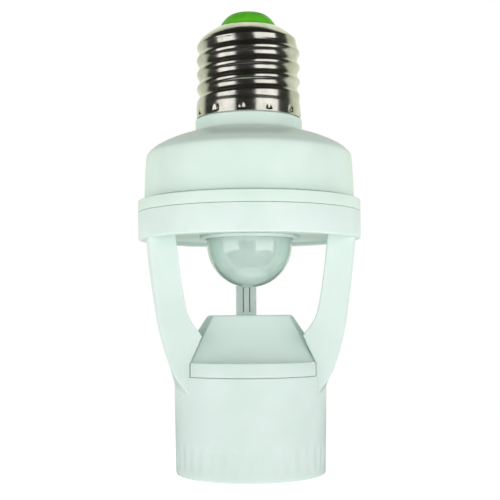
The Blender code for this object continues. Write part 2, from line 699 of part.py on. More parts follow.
def makeLens():
    """A thin ball with a skirt and a flange, open at the top."""
    inside_r = LENS_R - LENS_WALL
    flange_z = FLOOR_TOP + SEAT
    top = flange_z + LENS_FLANGE_T
    centre = (0.0, LENS_CENTRE_Z)
    inner = arcPoints(centre, inside_r, -90, 0, 6)
    outer = arcPoints(centre, LENS_R, 0, -90, 8)
    inner[0] = (0.0, inner[0][1])
    outer[-1] = (0.0, outer[-1][1])
    flange = [(LENS_FLANGE_R, top), (LENS_FLANGE_R, flange_z)]
    profile = [*inner, (inside_r, top), *flange, (LENS_R, flange_z), *outer]
    return turned("lens", profile, LENS_PLASTIC, MEDIUM_STEPS, closed=False)


def makeLensBezel():
    """The snap ring under the floor that guides the lens."""
    bore = LENS_R + SEAT
    collar = FLOOR_HOLE_R - SEAT
    top = FLOOR_Z - SEAT
    round_in = BEZEL_T / 2
    return turned("lens_bezel", [
        (collar, FLOOR_TOP), (collar, top), (BEZEL_R, top), (BEZEL_R, top - round_in),
        (BEZEL_R - round_in, top - BEZEL_T), (bore + round_in, top - BEZEL_T),
        (bore, top - BEZEL_T + round_in), (bore, FLOOR_TOP),
    ], WHITE_PLASTIC, MEDIUM_STEPS)


def makeBoard():
    board = pin("circuit_board", BOARD_R, BOARD_Z, BOARD_TOP, finish=BOARD_GREEN, steps=MEDIUM_STEPS)
    for number, place in enumerate(bossPlaces(), 1):
        hole = pin(f"board_hole_{number}", SCREW_CORE_R + SEAT, BOARD_Z - EPS, BOARD_TOP + EPS, place)
        cut(board, hole)
    return board


def makeBoardScrews():
    head_z = BOARD_TOP + SEAT
    for number, (x, y) in enumerate(bossPlaces(), 1):
        screw = turned(f"board_screw_{number}", [
            (0.0, head_z + SCREW_HEAD_H), (SCREW_HEAD_R * 0.7, head_z + SCREW_HEAD_H),
            (SCREW_HEAD_R, head_z + SCREW_HEAD_H * 0.4), (SCREW_HEAD_R, head_z), (SCREW_CORE_R, head_z),
            (SCREW_CORE_R, head_z - SCREW_LENGTH + SCREW_CORE_R), (0.0, head_z - SCREW_LENGTH),
        ], NICKEL, SMALL_STEPS, closed=False)
        screw.location = (x, y, 0.0)


def makeSensor():
    """The heat sensor's can, its window and the spacer that sets it at the lens's centre."""
    window = [side / 2 for side in WINDOW_SIZE[:2]]
    depth = WINDOW_SIZE[2]
    base_r = SENSOR_R + SEAT
    step_z = SENSOR_Z + SENSOR_H - 2 * SEAT
    can = turned("pir_sensor", [
        (0.0, SENSOR_Z + SENSOR_H), (base_r, SENSOR_Z + SENSOR_H), (base_r, step_z), (SENSOR_R, step_z),
        (SENSOR_R, SENSOR_Z + SEAT), (SENSOR_R - SEAT, SENSOR_Z), (0.0, SENSOR_Z),
    ], NICKEL, 24, closed=False)
    recess = box(
        "window_recess", (-window[0] - SEAT, -window[1] - SEAT, SENSOR_Z - EPS),
        (window[0] + SEAT, window[1] + SEAT, SENSOR_Z + depth + SEAT),
    )
    cut(plain(can), recess)
    box(
        "sensor_window", (-window[0], -window[1], SENSOR_Z), (window[0], window[1], SENSOR_Z + depth),
        BLACK_PLASTIC,
    )
    pin("sensor_spacer", SPACER_R, SPACER_Z, SPACER_Z + SPACER_H, finish=BLACK_PLASTIC, steps=24)


def makeBoardParts():
    """What stands on the board: relay, capacitors, rectifier, chip and fuse resistor."""
    def block(name, place, size, finish):
        low = (place[0] - size[0] / 2, place[1] - size[1] / 2, PARTS_Z)
        high = (place[0] + size[0] / 2, place[1] + size[1] / 2, PARTS_Z + size[2])
        return rounded(box(name, low, high, finish), BLOCK_ROUND)

    block("relay", RELAY_PLACE, RELAY_SIZE, BLUE_PLASTIC)
    block("film_capacitor", FILM_CAPACITOR_PLACE, FILM_CAPACITOR_SIZE, RED_SLEEVING)
    block("bridge_rectifier", RECTIFIER_PLACE, RECTIFIER_SIZE, BLACK_PLASTIC)
    block("controller_chip", CHIP_PLACE, CHIP_SIZE, BLACK_PLASTIC)
    groove = FILTER_CAPACITOR_R * 0.1
    wide = FILTER_CAPACITOR_R
    narrow = wide - groove
    can_top = PARTS_Z + FILTER_CAPACITOR_H
    can = turned("filter_capacitor", [
        (0.0, can_top), (narrow, can_top), (wide, can_top - groove), (wide, PARTS_Z + 4 * groove),
        (narrow, PARTS_Z + 3 * groove), (wide, PARTS_Z + 2 * groove), (wide, PARTS_Z), (0.0, PARTS_Z),
    ], BLACK_PLASTIC, 20, closed=False)
    can.location = (*FILTER_CAPACITOR_PLACE, 0.0)
    fuse = turned("fuse_resistor", [(FUSE_R * across, PARTS_Z + FUSE_H * up) for across, up in (
        (0.0, 1.0), (0.6, 1.0), (1.0, 0.9), (0.85, 0.74), (0.85, 0.26), (1.0, 0.1), (0.6, 0.0), (0.0, 0.0),
    )], PALE_CERAMIC, SMALL_STEPS, closed=False)
    fuse.location = (*FUSE_PLACE, 0.0)
    top = BOARD_Z - SEAT
    neck = top - LIGHT_SENSOR_H
    light = turned("light_sensor", [
        (0.0, top), (LIGHT_SENSOR_R, top), *arcPoints((0.0, neck), LIGHT_SENSOR_R, 0, -90, 3)[:-1],
        (0.0, neck - LIGHT_SENSOR_R),
    ], LENS_PLASTIC, SMALL_STEPS, closed=False)
    light.location = (LIGHT_SENSOR_X, 0.0, 0.0)


def makeDuct():
    """A channel down the back, open to the front, from the floor to the sleeve's top edge."""
    half = DUCT_W / 2
    groove = DUCT_GROOVE_W / 2
    head_z = FLOOR_TOP + SEAT
    duct = box("wire_duct", (-half, DUCT_FRONT_Y, DUCT_Z), (half, DUCT_BACK_Y, head_z), WHITE_PLASTIC)
    wide = half + DUCT_HEAD_MARGIN
    head = box(
        "duct_head", (-wide, DUCT_FRONT_Y - DUCT_HEAD_MARGIN, head_z),
        (wide, DUCT_BACK_Y + DUCT_HEAD_MARGIN, head_z + DUCT_HEAD_T),
    )
    join(duct, head)
    channel = box(
        "duct_channel", (-groove, DUCT_FRONT_Y - 2 * EPS, DUCT_Z - EPS),
        (groove, DUCT_BACK_Y - DUCT_BACK_T, head_z + DUCT_HEAD_T + EPS),
    )
    cut(duct, channel)
    strip = DUCT_COVER_W / 2
    cover = box(
        "duct_cover", (-strip, DUCT_FRONT_Y, LEDGE_Z + SEAT),
        (strip, DUCT_FRONT_Y + DUCT_COVER_T, FLOOR_Z - SEAT), WHITE_PLASTIC,
    )
    bridge = box(
        "duct_bridge", (-BRIDGE_W / 2, DUCT_FRONT_Y - SEAT - BRIDGE_H, BRIDGE_Z - BRIDGE_H / 2),
        (BRIDGE_W / 2, DUCT_FRONT_Y - SEAT, BRIDGE_Z + BRIDGE_H / 2),
    )
    neck = box(
        "bridge_neck", (-strip * 0.8, DUCT_FRONT_Y - SEAT - BRIDGE_H / 2, BRIDGE_Z - BRIDGE_H / 3),
        (strip * 0.8, DUCT_FRONT_Y + DUCT_COVER_T / 2, BRIDGE_Z + BRIDGE_H / 3),
    )
    join(cover, neck, bridge)


def makeSocketInsert():
    """The insulating disc that carries the lamp's shell and spring."""
    insert = pin("socket_insert", CAP_SPIGOT_R, INSERT_Z, INSERT_TOP, finish=PALE_CERAMIC, steps=MEDIUM_STEPS)
    cut(insert, pin("insert_hole", RIVET_R + SEAT, INSERT_Z - EPS, INSERT_TOP + EPS, (0.0, TONGUE_FIX_Y)))
    for side in (-1, 1):
        place = (side * SHELL_RIVET_X, 0.0)
        cut(insert, pin(f"insert_hole_{side}", RIVET_R + SEAT, INSERT_Z - EPS, INSERT_TOP + EPS, place))
    return insert


def makeLampShell():
    """The threaded shell that a lamp screws into, with a flange riveted under the insert."""
    flange_z = INSERT_Z - SEAT
    corner = flange_z - 0.0008
    above = ((LAMP_FLANGE_R, flange_z), (LAMP_THREAD_ROOT_R - 0.0008, flange_z), (LAMP_THREAD_ROOT_R, corner))
    mouth = LAMP_SHELL_MOUTH_Z
    below = ((LAMP_THREAD_CREST_R - 0.0002, mouth + 0.0010), (LAMP_THREAD_CREST_R + 0.0002, mouth))
    shell = threadedShell(
        "lamp_shell", above, below, LAMP_THREAD_CREST_R, LAMP_THREAD_ROOT_R, mouth + 0.0016, corner - 0.0004,
        mouth, LAMP_SHELL_WALL, NICKEL, 24,
    )
    bpy.context.view_layer.update()
    plain(shell)
    for side in (-1, 1):
        place = (side * SHELL_RIVET_X, 0.0)
        cut(shell, pin(f"shell_hole_{side}", RIVET_R + SEAT, flange_z - 3 * EPS, flange_z + EPS, place))
    return shell


def makeRivet(name, place, low, high):
    """A rivet from under the lower plate to over the upper one."""
    flat = RIVET_HEAD_R * 0.6
    top, bottom = high + RIVET_HEAD_T, low - RIVET_HEAD_T
    profile = [
        (0.0, top), (flat, top), (RIVET_HEAD_R, high), (RIVET_R, high), (RIVET_R, low), (RIVET_HEAD_R, low),
        (flat, bottom), (0.0, bottom),
    ]
    rivet = turned(name, profile, BRASS, 12, closed=False)
    rivet.location = (*place, 0.0)
    return rivet


def makeLampContacts():
    """The sprung tongue, its rivet, the shell's rivets and the two terminals above the insert."""
    tongue_top = INSERT_Z - SEAT
    fix_end = TONGUE_FIX_Y + TONGUE_FIX_LENGTH / 2
    fix_start = TONGUE_FIX_Y - TONGUE_FIX_LENGTH / 2
    tip_top = TONGUE_TIP_Z + TONGUE_T
    touch_y = -RIVET_HEAD_R * 2 / 3
    lift_y = touch_y - 0.0014
    tip_y = lift_y - 0.0014
    bend = [
        (fix_end, tongue_top), (fix_start, tongue_top), (touch_y, tip_top), (lift_y, tip_top),
        (tip_y, tip_top + 2 * TONGUE_T),
    ]
    under = [(y - 0.6 * TONGUE_T, z - TONGUE_T) for y, z in reversed(bend[1:-1])]
    outline = [*bend, (tip_y - 0.8 * TONGUE_T, tip_top + TONGUE_T), *under, (fix_end, tongue_top - TONGUE_T)]
    tongue = extruded("lamp_contact", outline, TONGUE_W, ALONG_YZ, BRASS)
    place = (0.0, TONGUE_FIX_Y)
    cut(tongue, pin("tongue_hole", RIVET_R + SEAT, tongue_top - 2 * EPS, tongue_top + EPS, place))
    terminal_z = INSERT_TOP + SEAT
    terminal_top = terminal_z + TERMINAL_T
    makeRivet("contact_rivet", place, tongue_top - TONGUE_T - SEAT, terminal_top + SEAT)
    flange_under = INSERT_Z - SEAT - LAMP_SHELL_WALL - SEAT
    makeRivet("shell_rivet_1", (SHELL_RIVET_X, 0.0), flange_under, terminal_top + SEAT)
    makeRivet("shell_rivet_2", (-SHELL_RIVET_X, 0.0), flange_under, INSERT_TOP + SEAT)
    tab = TERMINAL_W / 2
    reach = TERMINAL_REACH
    spots = (("contact_terminal", place), ("shell_terminal", (SHELL_RIVET_X, 0.0)))
    for number, (name, (x, y)) in enumerate(spots, 1):
        terminal = box(name, (x - tab, y - tab, terminal_z), (x + tab, y + reach, terminal_top), BRASS)
        low, high = terminal_z - EPS, terminal_top + EPS
        cut(terminal, pin(f"terminal_hole_{number}", RIVET_R + SEAT, low, high, (x, y)))


def makeLeads():
    """Two leads from the screw cap to the board, and two from the board down the duct to the terminals."""
    contact_tail = CAP_SHOULDER_Z - 0.0014 - SEAT
    board = PARTS_Z
    gap = LEAD_R * 10 / 3  # from one lead's middle to the next one's side
    x = LEAD_X
    tube("live_lead", [
        (0.0, 0.0, contact_tail), (gap / 4, gap / 2, SPIGOT_TOP + 0.0030), (-x * 3 / 7, gap, COLLAR_TOP),
        (-x, gap, COLLAR_Z - 0.0060), (-x, gap * 1.5, board),
    ], LEAD_R, BLACK_PLASTIC)
    rim = SPIGOT_TIP_R - LEAD_R
    tube("neutral_lead", [
        (rim, 0.0, SPIGOT_TOP + SEAT + LEAD_R), (rim - 0.0026, 0.0, SPIGOT_TOP + 0.0004),
        (x, 0.0, COLLAR_TOP + 0.0040), (x * 2 / 7, -gap / 2, COLLAR_Z - 0.0010),
        (-x * 5 / 7, -gap * 2, COLLAR_Z - 0.0080), (-x * 6 / 7, -gap * 2.5, board),
    ], LEAD_R, BLUE_PLASTIC)
    back = DUCT_BACK_Y - DUCT_BACK_T - SEAT / 2 - LEAD_R
    front = back - 2 * LEAD_R - SEAT / 2
    lead_top = BOARD_Z - SEAT
    terminal = INSERT_TOP + 2 * SEAT + TERMINAL_T + LEAD_R
    end_y = TONGUE_FIX_Y + TERMINAL_REACH - 0.0012
    middle_z = (lead_top + LEDGE_Z) / 2
    top = SLEEVE_H
    live = (
        (0.0, 0.0060), (0.0, 0.0036), (-0.0003, 0.0023), (-0.0011, 0.0015), (-0.0022, 0.0009), (-0.0040, 0.0),
    )
    tube("lamp_live_lead", [
        (0.0, front, lead_top), (0.0, front, middle_z), *((0.0, front + y, top + z) for y, z in live),
        (0.0, end_y, terminal),
    ], LEAD_R, RED_SLEEVING, 2)
    neutral = (
        (0.0, 0.0, 0.0060), (0.0, 0.0, 0.0040), (0.0, -0.0003, 0.0024), (0.0, -0.0009, 0.0010),
        (0.0001, -0.0018, -0.0002), (0.0030, -0.0042, -0.0016),
    )
    bend_x, bend_y = SHELL_RIVET_X - 0.0015, TERMINAL_REACH + 0.0013
    tube("lamp_neutral_lead", [
        (0.0, back, lead_top), (0.0, back, middle_z), *((x, back + y, top + z) for x, y, z in neutral),
        (bend_x, bend_y, terminal), (SHELL_RIVET_X, TERMINAL_REACH - 0.0016, terminal),
    ], LEAD_R, BLUE_PLASTIC, 2)


def build():
    makeScrewShell()
    makeInsulator()
    makeCentreContact()
    makeDomeCover()
    makeCage()
    makeLens()
    makeLensBezel()
    makeBoard()
    makeBoardScrews()
    makeSensor()
    makeBoardParts()
    makeDuct()
    makeSocketCap()
    makeSocketInsert()
    makeLampShell()
    makeLampContacts()
    makeLeads()
    for item in PARTS.objects:
        if item.type == "MESH" and not item.modifiers:
            item.data.shade_smooth()
            item.data.set_sharp_from_angle(angle=math.radians(35))


build()
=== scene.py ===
import math
from functools import partial
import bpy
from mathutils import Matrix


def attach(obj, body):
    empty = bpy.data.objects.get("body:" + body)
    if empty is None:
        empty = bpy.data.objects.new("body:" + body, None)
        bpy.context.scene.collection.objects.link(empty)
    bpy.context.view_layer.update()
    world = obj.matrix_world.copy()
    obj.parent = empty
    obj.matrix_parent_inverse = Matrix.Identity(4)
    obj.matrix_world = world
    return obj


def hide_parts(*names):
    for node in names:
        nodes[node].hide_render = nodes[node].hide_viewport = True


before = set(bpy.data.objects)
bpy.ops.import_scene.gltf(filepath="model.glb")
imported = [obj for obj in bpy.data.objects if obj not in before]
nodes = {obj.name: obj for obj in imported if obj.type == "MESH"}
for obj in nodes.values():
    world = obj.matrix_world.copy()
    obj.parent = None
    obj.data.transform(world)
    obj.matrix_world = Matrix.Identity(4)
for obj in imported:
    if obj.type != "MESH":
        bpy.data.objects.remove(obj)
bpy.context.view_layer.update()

from types import SimpleNamespace

import bmesh
import bpy
from mathutils import Matrix, Vector

mm = 0.001
maths = "ShaderNodeMath"
print("frame loaded:", len(nodes), "CAD nodes")


# Helpers for sizes, colour, nodes and meshes

def millimetres(**sizes):
    # sizes given in millimetres, alone or in rows of points, as metres
    def metres(value):
        return tuple(metres(v) for v in value) if isinstance(value, tuple) else value * mm

    return {name: metres(value) for name, value in sizes.items()}


def hexLinear(code):
    # an sRGB hex value, such as DCEFE6, as linear red, green, blue and alpha
    parts = [int(code[i:i + 2], 16) / 255 for i in (0, 2, 4)]
    return (*[c / 12.92 if c <= 0.04045 else ((c + 0.055) / 1.055) ** 2.4 for c in parts], 1.0)


def addNode(tree, kind, feeds=(), **settings):
    # one node with its settings, and what feeds its inputs, by name or in order: plain values, sockets,
    # or nodes, which stand for their first output
    node = tree.nodes.new(kind)
    for name, value in settings.items():
        setattr(node, name, value)
    for name, source in feeds.items() if isinstance(feeds, dict) else enumerate(feeds):
        if isinstance(source, bpy.types.Node):
            source = source.outputs[0]
        if isinstance(source, bpy.types.NodeSocket):
            tree.links.new(source, node.inputs[name])
        else:
            node.inputs[name].default_value = source
    return node


def smoothLine(points, pieces):
    # points on a smooth curve through the given ones
    points = [Vector(p) for p in points]
    ends = [2 * points[0] - points[1], *points, 2 * points[-1] - points[-2]]
    found = []
    for a, b, c, d in zip(ends, ends[1:], ends[2:], ends[3:]):
        for step in range(pieces):
            t = step / pieces
            bend = 2 * a - 5 * b + 4 * c - d
            twist = 3 * b - a - 3 * c + d
            found.append(tuple(0.5 * (2 * b + (c - a) * t + bend * t ** 2 + twist * t ** 3)))
    return [*found, tuple(points[-1])]


def softCorners(profile, pieces=4):
    # a closed profile of (radius, height, rounding), with each corner made an arc of about its rounding
    found = []
    count = len(profile)
    for i in range(count):
        x, y, size = (*profile[i], 0.0)[:3]
        here = Vector((x, y))
        if size <= 0:
            found.append((x, y))
            continue
        before = Vector(profile[i - 1][:2]) - here
        after = Vector(profile[(i + 1) % count][:2]) - here
        reach = min(size, before.length * 0.48, after.length * 0.48)
        start, end = here + before.normalized() * reach, here + after.normalized() * reach
        for step in range(pieces + 1):
            t = step / pieces
            found.append(tuple((1 - t) ** 2 * start + 2 * t * (1 - t) * here + t ** 2 * end))
    return found


def clean(work, near):
    # merges points closer than near, and takes out the slivers
    bmesh.ops.remove_doubles(work, verts=work.verts, dist=near)
    bmesh.ops.dissolve_degenerate(work, dist=near / 10, edges=work.edges)


def meshOf(name, points, faces):
    # a clean mesh with its doubles merged and its faces pointing out
    mesh = bpy.data.meshes.new(name)
    work = bmesh.new()
    made = [work.verts.new(p) for p in points]
    for face in faces:
        corners = [made[i] for i in face]
        if len(set(corners)) > 2:
            work.faces.new(corners)
    clean(work, 1e-7)
    bmesh.ops.recalc_face_normals(work, faces=work.faces)
    work.to_mesh(mesh)
    work.free()
    return mesh


def addPiece(name, mesh):
    made = bpy.data.objects.new(name, mesh)
    bpy.context.scene.collection.objects.link(made)
    return made


def turnedPiece(name, profile, steps=128):
    # a closed profile of (radius, height) turned about the object's axis
    count = len(profile)
    angles = [2 * math.pi * i / steps for i in range(steps)]
    points = [(r * math.cos(a), r * math.sin(a), z) for a in angles for r, z in profile]
    faces = []
    for i in range(steps):
        for j in range(count):
            k, left, right = (j + 1) % count, i * count, (i + 1) % steps * count
            if profile[j][0] > 1e-6 or profile[k][0] > 1e-6:
                faces.append((left + j, right + j, right + k, left + k))
    return addPiece(name, meshOf(name, points, faces))


def stackedPiece(name, rows):
    # closed loops of points, one above the other, joined into one solid with flat ends
    count = len(rows[0])
    points = [p for row in rows for p in row]
    faces = [tuple(range(count)), tuple(range(len(points) - count, len(points)))]
    for level in range(len(rows) - 1):
        for j in range(count):
            k, low, high = (j + 1) % count, level * count, (level + 1) * count
            faces.append((low + j, low + k, high + k, high + j))
    return addPiece(name, meshOf(name, points, faces))


def pegPiece(name, x, y, radius, low, high, count):
    # a round peg on end, to be joined to a piece or cut from it
    around = [2 * math.pi * i / count for i in range(count)]
    rows = [[(x + radius * math.cos(a), y + radius * math.sin(a), z) for a in around] for z in (low, high)]
    return stackedPiece(name, rows)


def blockPiece(name, low, high, rounding=0.0):
    points = [(x, y, z) for z in (low[2], high[2]) for y in (low[1], high[1]) for x in (low[0], high[0])]
    faces = ((0, 2, 3, 1), (4, 5, 7, 6), (0, 1, 5, 4), (2, 6, 7, 3), (0, 4, 6, 2), (1, 3, 7, 5))
    made = addPiece(name, meshOf(name, points, faces))
    if rounding:
        edge = made.modifiers.new("edges", "BEVEL")
        edge.width, edge.segments, edge.limit_method = rounding, 3, "ANGLE"
        settled(made)
    return made


def settled(piece):
    # the piece with its modifiers turned into its plain mesh
    bpy.context.view_layer.update()
    graph = bpy.context.evaluated_depsgraph_get()
    mesh = bpy.data.meshes.new_from_object(piece.evaluated_get(graph))
    piece.modifiers.clear()
    piece.data = mesh
    return piece


def carved(piece, operation, *tools):
    # the piece joined with, or cut by, each tool, which is then removed
    for tool in tools:
        change = piece.modifiers.new("carve", "BOOLEAN")
        change.operation, change.solver, change.object = operation, "EXACT", tool
        settled(piece)
        bpy.data.objects.remove(tool, do_unlink=True)
    work = bmesh.new()
    work.from_mesh(piece.data)
    clean(work, 1e-6)
    work.to_mesh(piece.data)
    work.free()
    return piece


def grownByTree(piece, tree, sizes):
    # the tree run on the piece with its named inputs, then kept as a plain mesh
    grow = piece.modifiers.new("rule", "NODES")
    grow.node_group = tree
    for item in tree.interface.items_tree:
        if item.item_type == "SOCKET" and item.in_out == "INPUT" and item.name in sizes:
            grow[item.identifier] = sizes[item.name]
    return settled(piece)


def finishPiece(piece, finish, slot, *stoodFor, sharp=32):
    # smooth shading, the finish, the body it rides on and the CAD nodes it stands for
    piece.data.shade_smooth()
    piece.data.set_sharp_from_angle(angle=math.radians(sharp))
    piece.data.materials.clear()
    piece.data.materials.append(finish)
    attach(piece, "root")
    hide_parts(*stoodFor)


# Finishes. Object coordinates are in metres, so a scale of 1 / size gives features of about that size.

def startFinish(name):
    # an empty material, the call that adds its nodes, and its Object coordinates
    made = bpy.data.materials.new(name)
    made.use_nodes = True
    made.node_tree.nodes.clear()
    add = partial(addNode, made.node_tree)
    return made, add, add("ShaderNodeTexCoord").outputs["Object"]


def endFinish(made, add, surface):
    add("ShaderNodeOutputMaterial", {"Surface": add("ShaderNodeBsdfPrincipled", surface)})
    return made


def mottledColour(add, place, darkHex, lightHex, size, detail=3.0, low=0.36, high=0.64):
    # a colour that drifts between two close ones over patches of the given size, and the cloud behind it
    cloud = add("ShaderNodeTexNoise", {"Vector": place, "Scale": 1 / size, "Detail": detail})
    ramp = add("ShaderNodeValToRGB", {"Fac": cloud})
    for stop, position, code in zip(ramp.color_ramp.elements, (low, high), (darkHex, lightHex)):
        stop.position, stop.color = position, hexLinear(code)
    return ramp, cloud


def makeMouldedAbs(name, darkHex, lightHex):
    # injection-moulded ABS: an even satin face, faint flow clouds 9 mm across and a fine spark-eroded skin
    made, add, place = startFinish(name)
    colour, cloud = mottledColour(add, place, darkHex, lightHex, 9 * mm)
    skin = add("ShaderNodeTexNoise", {"Vector": place, "Scale": 1 / (0.55 * mm), "Detail": 2.0})
    sheen = add("ShaderNodeMapRange", {"Value": cloud, "To Min": 0.31, "To Max": 0.38})
    bump = add("ShaderNodeBump", {"Height": skin, "Strength": 0.10, "Distance": 0.02 * mm})
    return endFinish(made, add, {
        "Base Color": colour, "Roughness": sheen, "Normal": bump, "IOR": 1.53,
        "Subsurface Weight": 0.12, "Subsurface Radius": (1.0, 1.0, 0.9), "Subsurface Scale": 0.6 * mm,
    })


def makePearlPolyethylene():
    # pressed polyethylene lens: milky, lets light a little way in, with a waxy wide gloss, and painted shade
    # that darkens it towards its rim
    made, add, place = startFinish("pearlPolyethylene")
    colour = mottledColour(add, place, "C9DED5", "D1E4DC", 5 * mm)[0]
    # painted shade: the colour turns towards the darker 93AFA4 where the face turns away from the view
    facing = add("ShaderNodeLayerWeight", {"Blend": 0.30}).outputs["Facing"]
    paintedRimShade = add("ShaderNodeMapRange", {"Value": facing, "From Min": 0.6, "To Max": 0.10})
    colourWithPaintedRimShade = add("ShaderNodeMix", {"Factor": paintedRimShade, "A": colour, "B": hexLinear("93AFA4")}, data_type="RGBA")
    skin = add("ShaderNodeTexNoise", {"Vector": place, "Scale": 1 / (0.9 * mm), "Detail": 2.0})
    bump = add("ShaderNodeBump", {"Height": skin, "Strength": 0.12, "Distance": 0.03 * mm})
    return endFinish(made, add, {
        "Base Color": colourWithPaintedRimShade.outputs["Result"], "Roughness": 0.16, "Normal": bump, "IOR": 1.51,
        "Coat Weight": 1.0, "Coat Roughness": 0.09, "Coat IOR": 2.3,
        "Subsurface Weight": 0.35, "Subsurface Radius": (1.0, 1.0, 0.95), "Subsurface Scale": 1.6 * mm,
    })


def makeNaturalPolypropyleneWithPaintedLight():
    # moulded polypropylene with little pigment: waxy, clouded 4 mm across, and paler than the housing,
    # partly by its own colour and partly as painted light
    made, add, place = startFinish("naturalPolypropyleneWithPaintedLight")
    # painted light: these near-white colours are raised to make up for the shade that falls on the duct
    # behind the lens
    colour = mottledColour(add, place, "EFF8F3", "F5FBF8", 4 * mm)[0]
    return endFinish(made, add, {"Base Color": colour, "Roughness": 0.42, "IOR": 1.49})


def makeNickelPlatedBrass():
    # nickel plate on rolled brass sheet: bright, slightly warm and stained, with dull rolling lines round it
    made, add, place = startFinish("nickelPlatedBrass")
    around = add("ShaderNodeMapping", {"Vector": place, "Scale": (1.0, 1.0, 14.0)})
    lines = add("ShaderNodeTexNoise", {"Vector": around, "Scale": 1 / (5 * mm), "Detail": 3.0})
    tint = mottledColour(add, place, "D6D3C4", "ECE9E1", 4 * mm, 4.0, 0.34, 0.62)[0]
    dull = add("ShaderNodeMapRange", {
        "Value": lines, "From Min": 0.3, "From Max": 0.7, "To Min": 0.13, "To Max": 0.21,
    })
    bump = add("ShaderNodeBump", {"Height": lines, "Strength": 0.10, "Distance": 0.02 * mm})
    return endFinish(made, add, {"Base Color": tint, "Roughness": dull, "Normal": bump, "Metallic": 1.0})


def makeStampedBrass():
    # stamped brass strip: warm yellow, with a darker skin of oxide in patches 2 mm across
    made, add, place = startFinish("stampedBrass")
    colour, cloud = mottledColour(add, place, "B8975A", "D8B974", 2 * mm)
    dull = add("ShaderNodeMapRange", {"Value": cloud, "To Min": 0.22, "To Max": 0.42})
    return endFinish(made, add, {"Base Color": colour, "Roughness": dull, "Metallic": 1.0})


def makeGreenThermoset():
    # pressed thermoset insulator: strong green, satin, with filler grains 0.25 mm across
    made, add, place = startFinish("greenThermoset")
    colour = mottledColour(add, place, "51B314", "5CC61F", 2.5 * mm)[0]
    grain = add("ShaderNodeTexVoronoi", {"Vector": place, "Scale": 1 / (0.25 * mm)})
    bump = add("ShaderNodeBump", {"Height": grain, "Strength": 0.15, "Distance": 0.02 * mm})
    return endFinish(made, add, {"Base Color": colour, "Roughness": 0.38, "Normal": bump})


def makeGlassEpoxyLaminate():
    # glass-cloth epoxy board: green mask, paler over the copper tracks, and woven glass 0.5 mm apart
    made, add, place = startFinish("glassEpoxyLaminate")
    tracks = add("ShaderNodeTexBrick", {
        "Vector": place, "Scale": 1 / (6 * mm), "Mortar Size": 0.07, "Mortar": hexLinear("2F8A4C"),
        "Color1": hexLinear("1E6B3A"), "Color2": hexLinear("23743F"),
    })
    weave = add("ShaderNodeTexWave", {"Vector": place, "Scale": 1 / (0.5 * mm), "Distortion": 0.4})
    bump = add("ShaderNodeBump", {"Height": weave.outputs["Fac"], "Strength": 0.12, "Distance": 0.02 * mm})
    return endFinish(made, add, {"Base Color": tracks, "Roughness": 0.42, "Normal": bump})


def makeFilledPlastic(name, darkHex, lightHex, roughness, size):
    # filled moulding or extruded sleeve: a flat colour broken by grains of filler
    made, add, place = startFinish(name)
    colour, cloud = mottledColour(add, place, darkHex, lightHex, size, 5.0)
    dull = add("ShaderNodeMapRange", {
        "Value": cloud, "To Min": roughness - 0.05, "To Max": roughness + 0.08,
    })
    bump = add("ShaderNodeBump", {"Height": cloud, "Strength": 0.15, "Distance": 0.03 * mm})
    return endFinish(made, add, {"Base Color": colour, "Roughness": dull, "Normal": bump})


mouldedAbs = makeMouldedAbs("mouldedAbs", "DCEDE6", "E1F0EA")
mouldedAbsCover = makeMouldedAbs("mouldedAbsCover", "D9ECE1", "DEF0E6")
pearlPolyethylene = makePearlPolyethylene()
naturalPolypropyleneWithPaintedLight = makeNaturalPolypropyleneWithPaintedLight()
nickelPlatedBrass = makeNickelPlatedBrass()
stampedBrass = makeStampedBrass()
greenThermoset = makeGreenThermoset()
glassEpoxyLaminate = makeGlassEpoxyLaminate()
blackEpoxyMoulding = makeFilledPlastic("blackEpoxyMoulding", "141516", "202224", 0.45, 0.5 * mm)
blueRelayCase = makeFilledPlastic("blueRelayCase", "1B4C9A", "2459AC", 0.35, 3 * mm)
redSleeving = makeFilledPlastic("redSleeving", "A3191B", "B82424", 0.45, 2 * mm)
pressedSteatite = makeFilledPlastic("pressedSteatite", "D9D3C2", "E6E1D3", 0.5, 0.6 * mm)
print("finishes made:", len(bpy.data.materials))


# What the Geometry Nodes rules share

def startRule(name, *numbers):
    # a tree with its sockets, the call that adds its nodes, what it is given, and each point's X, Y and Z
    tree = bpy.data.node_groups.new(name, "GeometryNodeTree")
    tree.interface.new_socket("Geometry", in_out="OUTPUT", socket_type="NodeSocketGeometry")
    for label, kind in (("Geometry", "Geometry"), *((n, "Float") for n in numbers), ("Finish", "Material")):
        tree.interface.new_socket(label, in_out="INPUT", socket_type="NodeSocket" + kind)
    add = partial(addNode, tree)
    parts = add("ShaderNodeSeparateXYZ", {"Vector": add("GeometryNodeInputPosition")}).outputs
    return tree, add, add("NodeGroupInput").outputs, parts


def endRule(tree, add, given, shape):
    real = add("GeometryNodeRealizeInstances", {"Geometry": shape})
    finished = add("GeometryNodeSetMaterial", {"Geometry": real, "Material": given["Finish"]})
    add("NodeGroupOutput", {"Geometry": finished})
    return tree


def fadedSpan(add, along, low, high, run):
    # 1 between low and high, easing to 0 over the length run inside both ends
    lowDone = add(maths, (low, run), operation="ADD")
    highBegun = add(maths, (high, run), operation="SUBTRACT")
    fadeIn = add("ShaderNodeMapRange", {"Value": along, "From Min": low, "From Max": lowDone},
                 interpolation_type="SMOOTHSTEP")
    fadeOut = add("ShaderNodeMapRange", {
        "Value": along, "From Min": highBegun, "From Max": high, "To Min": 1.0, "To Max": 0.0,
    }, interpolation_type="SMOOTHSTEP")
    return add(maths, (fadeIn, fadeOut), operation="MULTIPLY")


def pushedOut(add, given, parts, reach):
    # the given mesh with each point moved away from the axis by reach
    flat = add("ShaderNodeCombineXYZ", {"X": parts["X"], "Y": parts["Y"]})
    outwards = add("ShaderNodeVectorMath", (flat,), operation="NORMALIZE")
    move = add("ShaderNodeVectorMath", {0: outwards, "Scale": reach}, operation="SCALE")
    return add("GeometryNodeSetPosition", {"Geometry": given["Geometry"], "Offset": move})


# Rule for a rolled thread, with a ring of crimp punches under it. Its arcs are in millimetres.

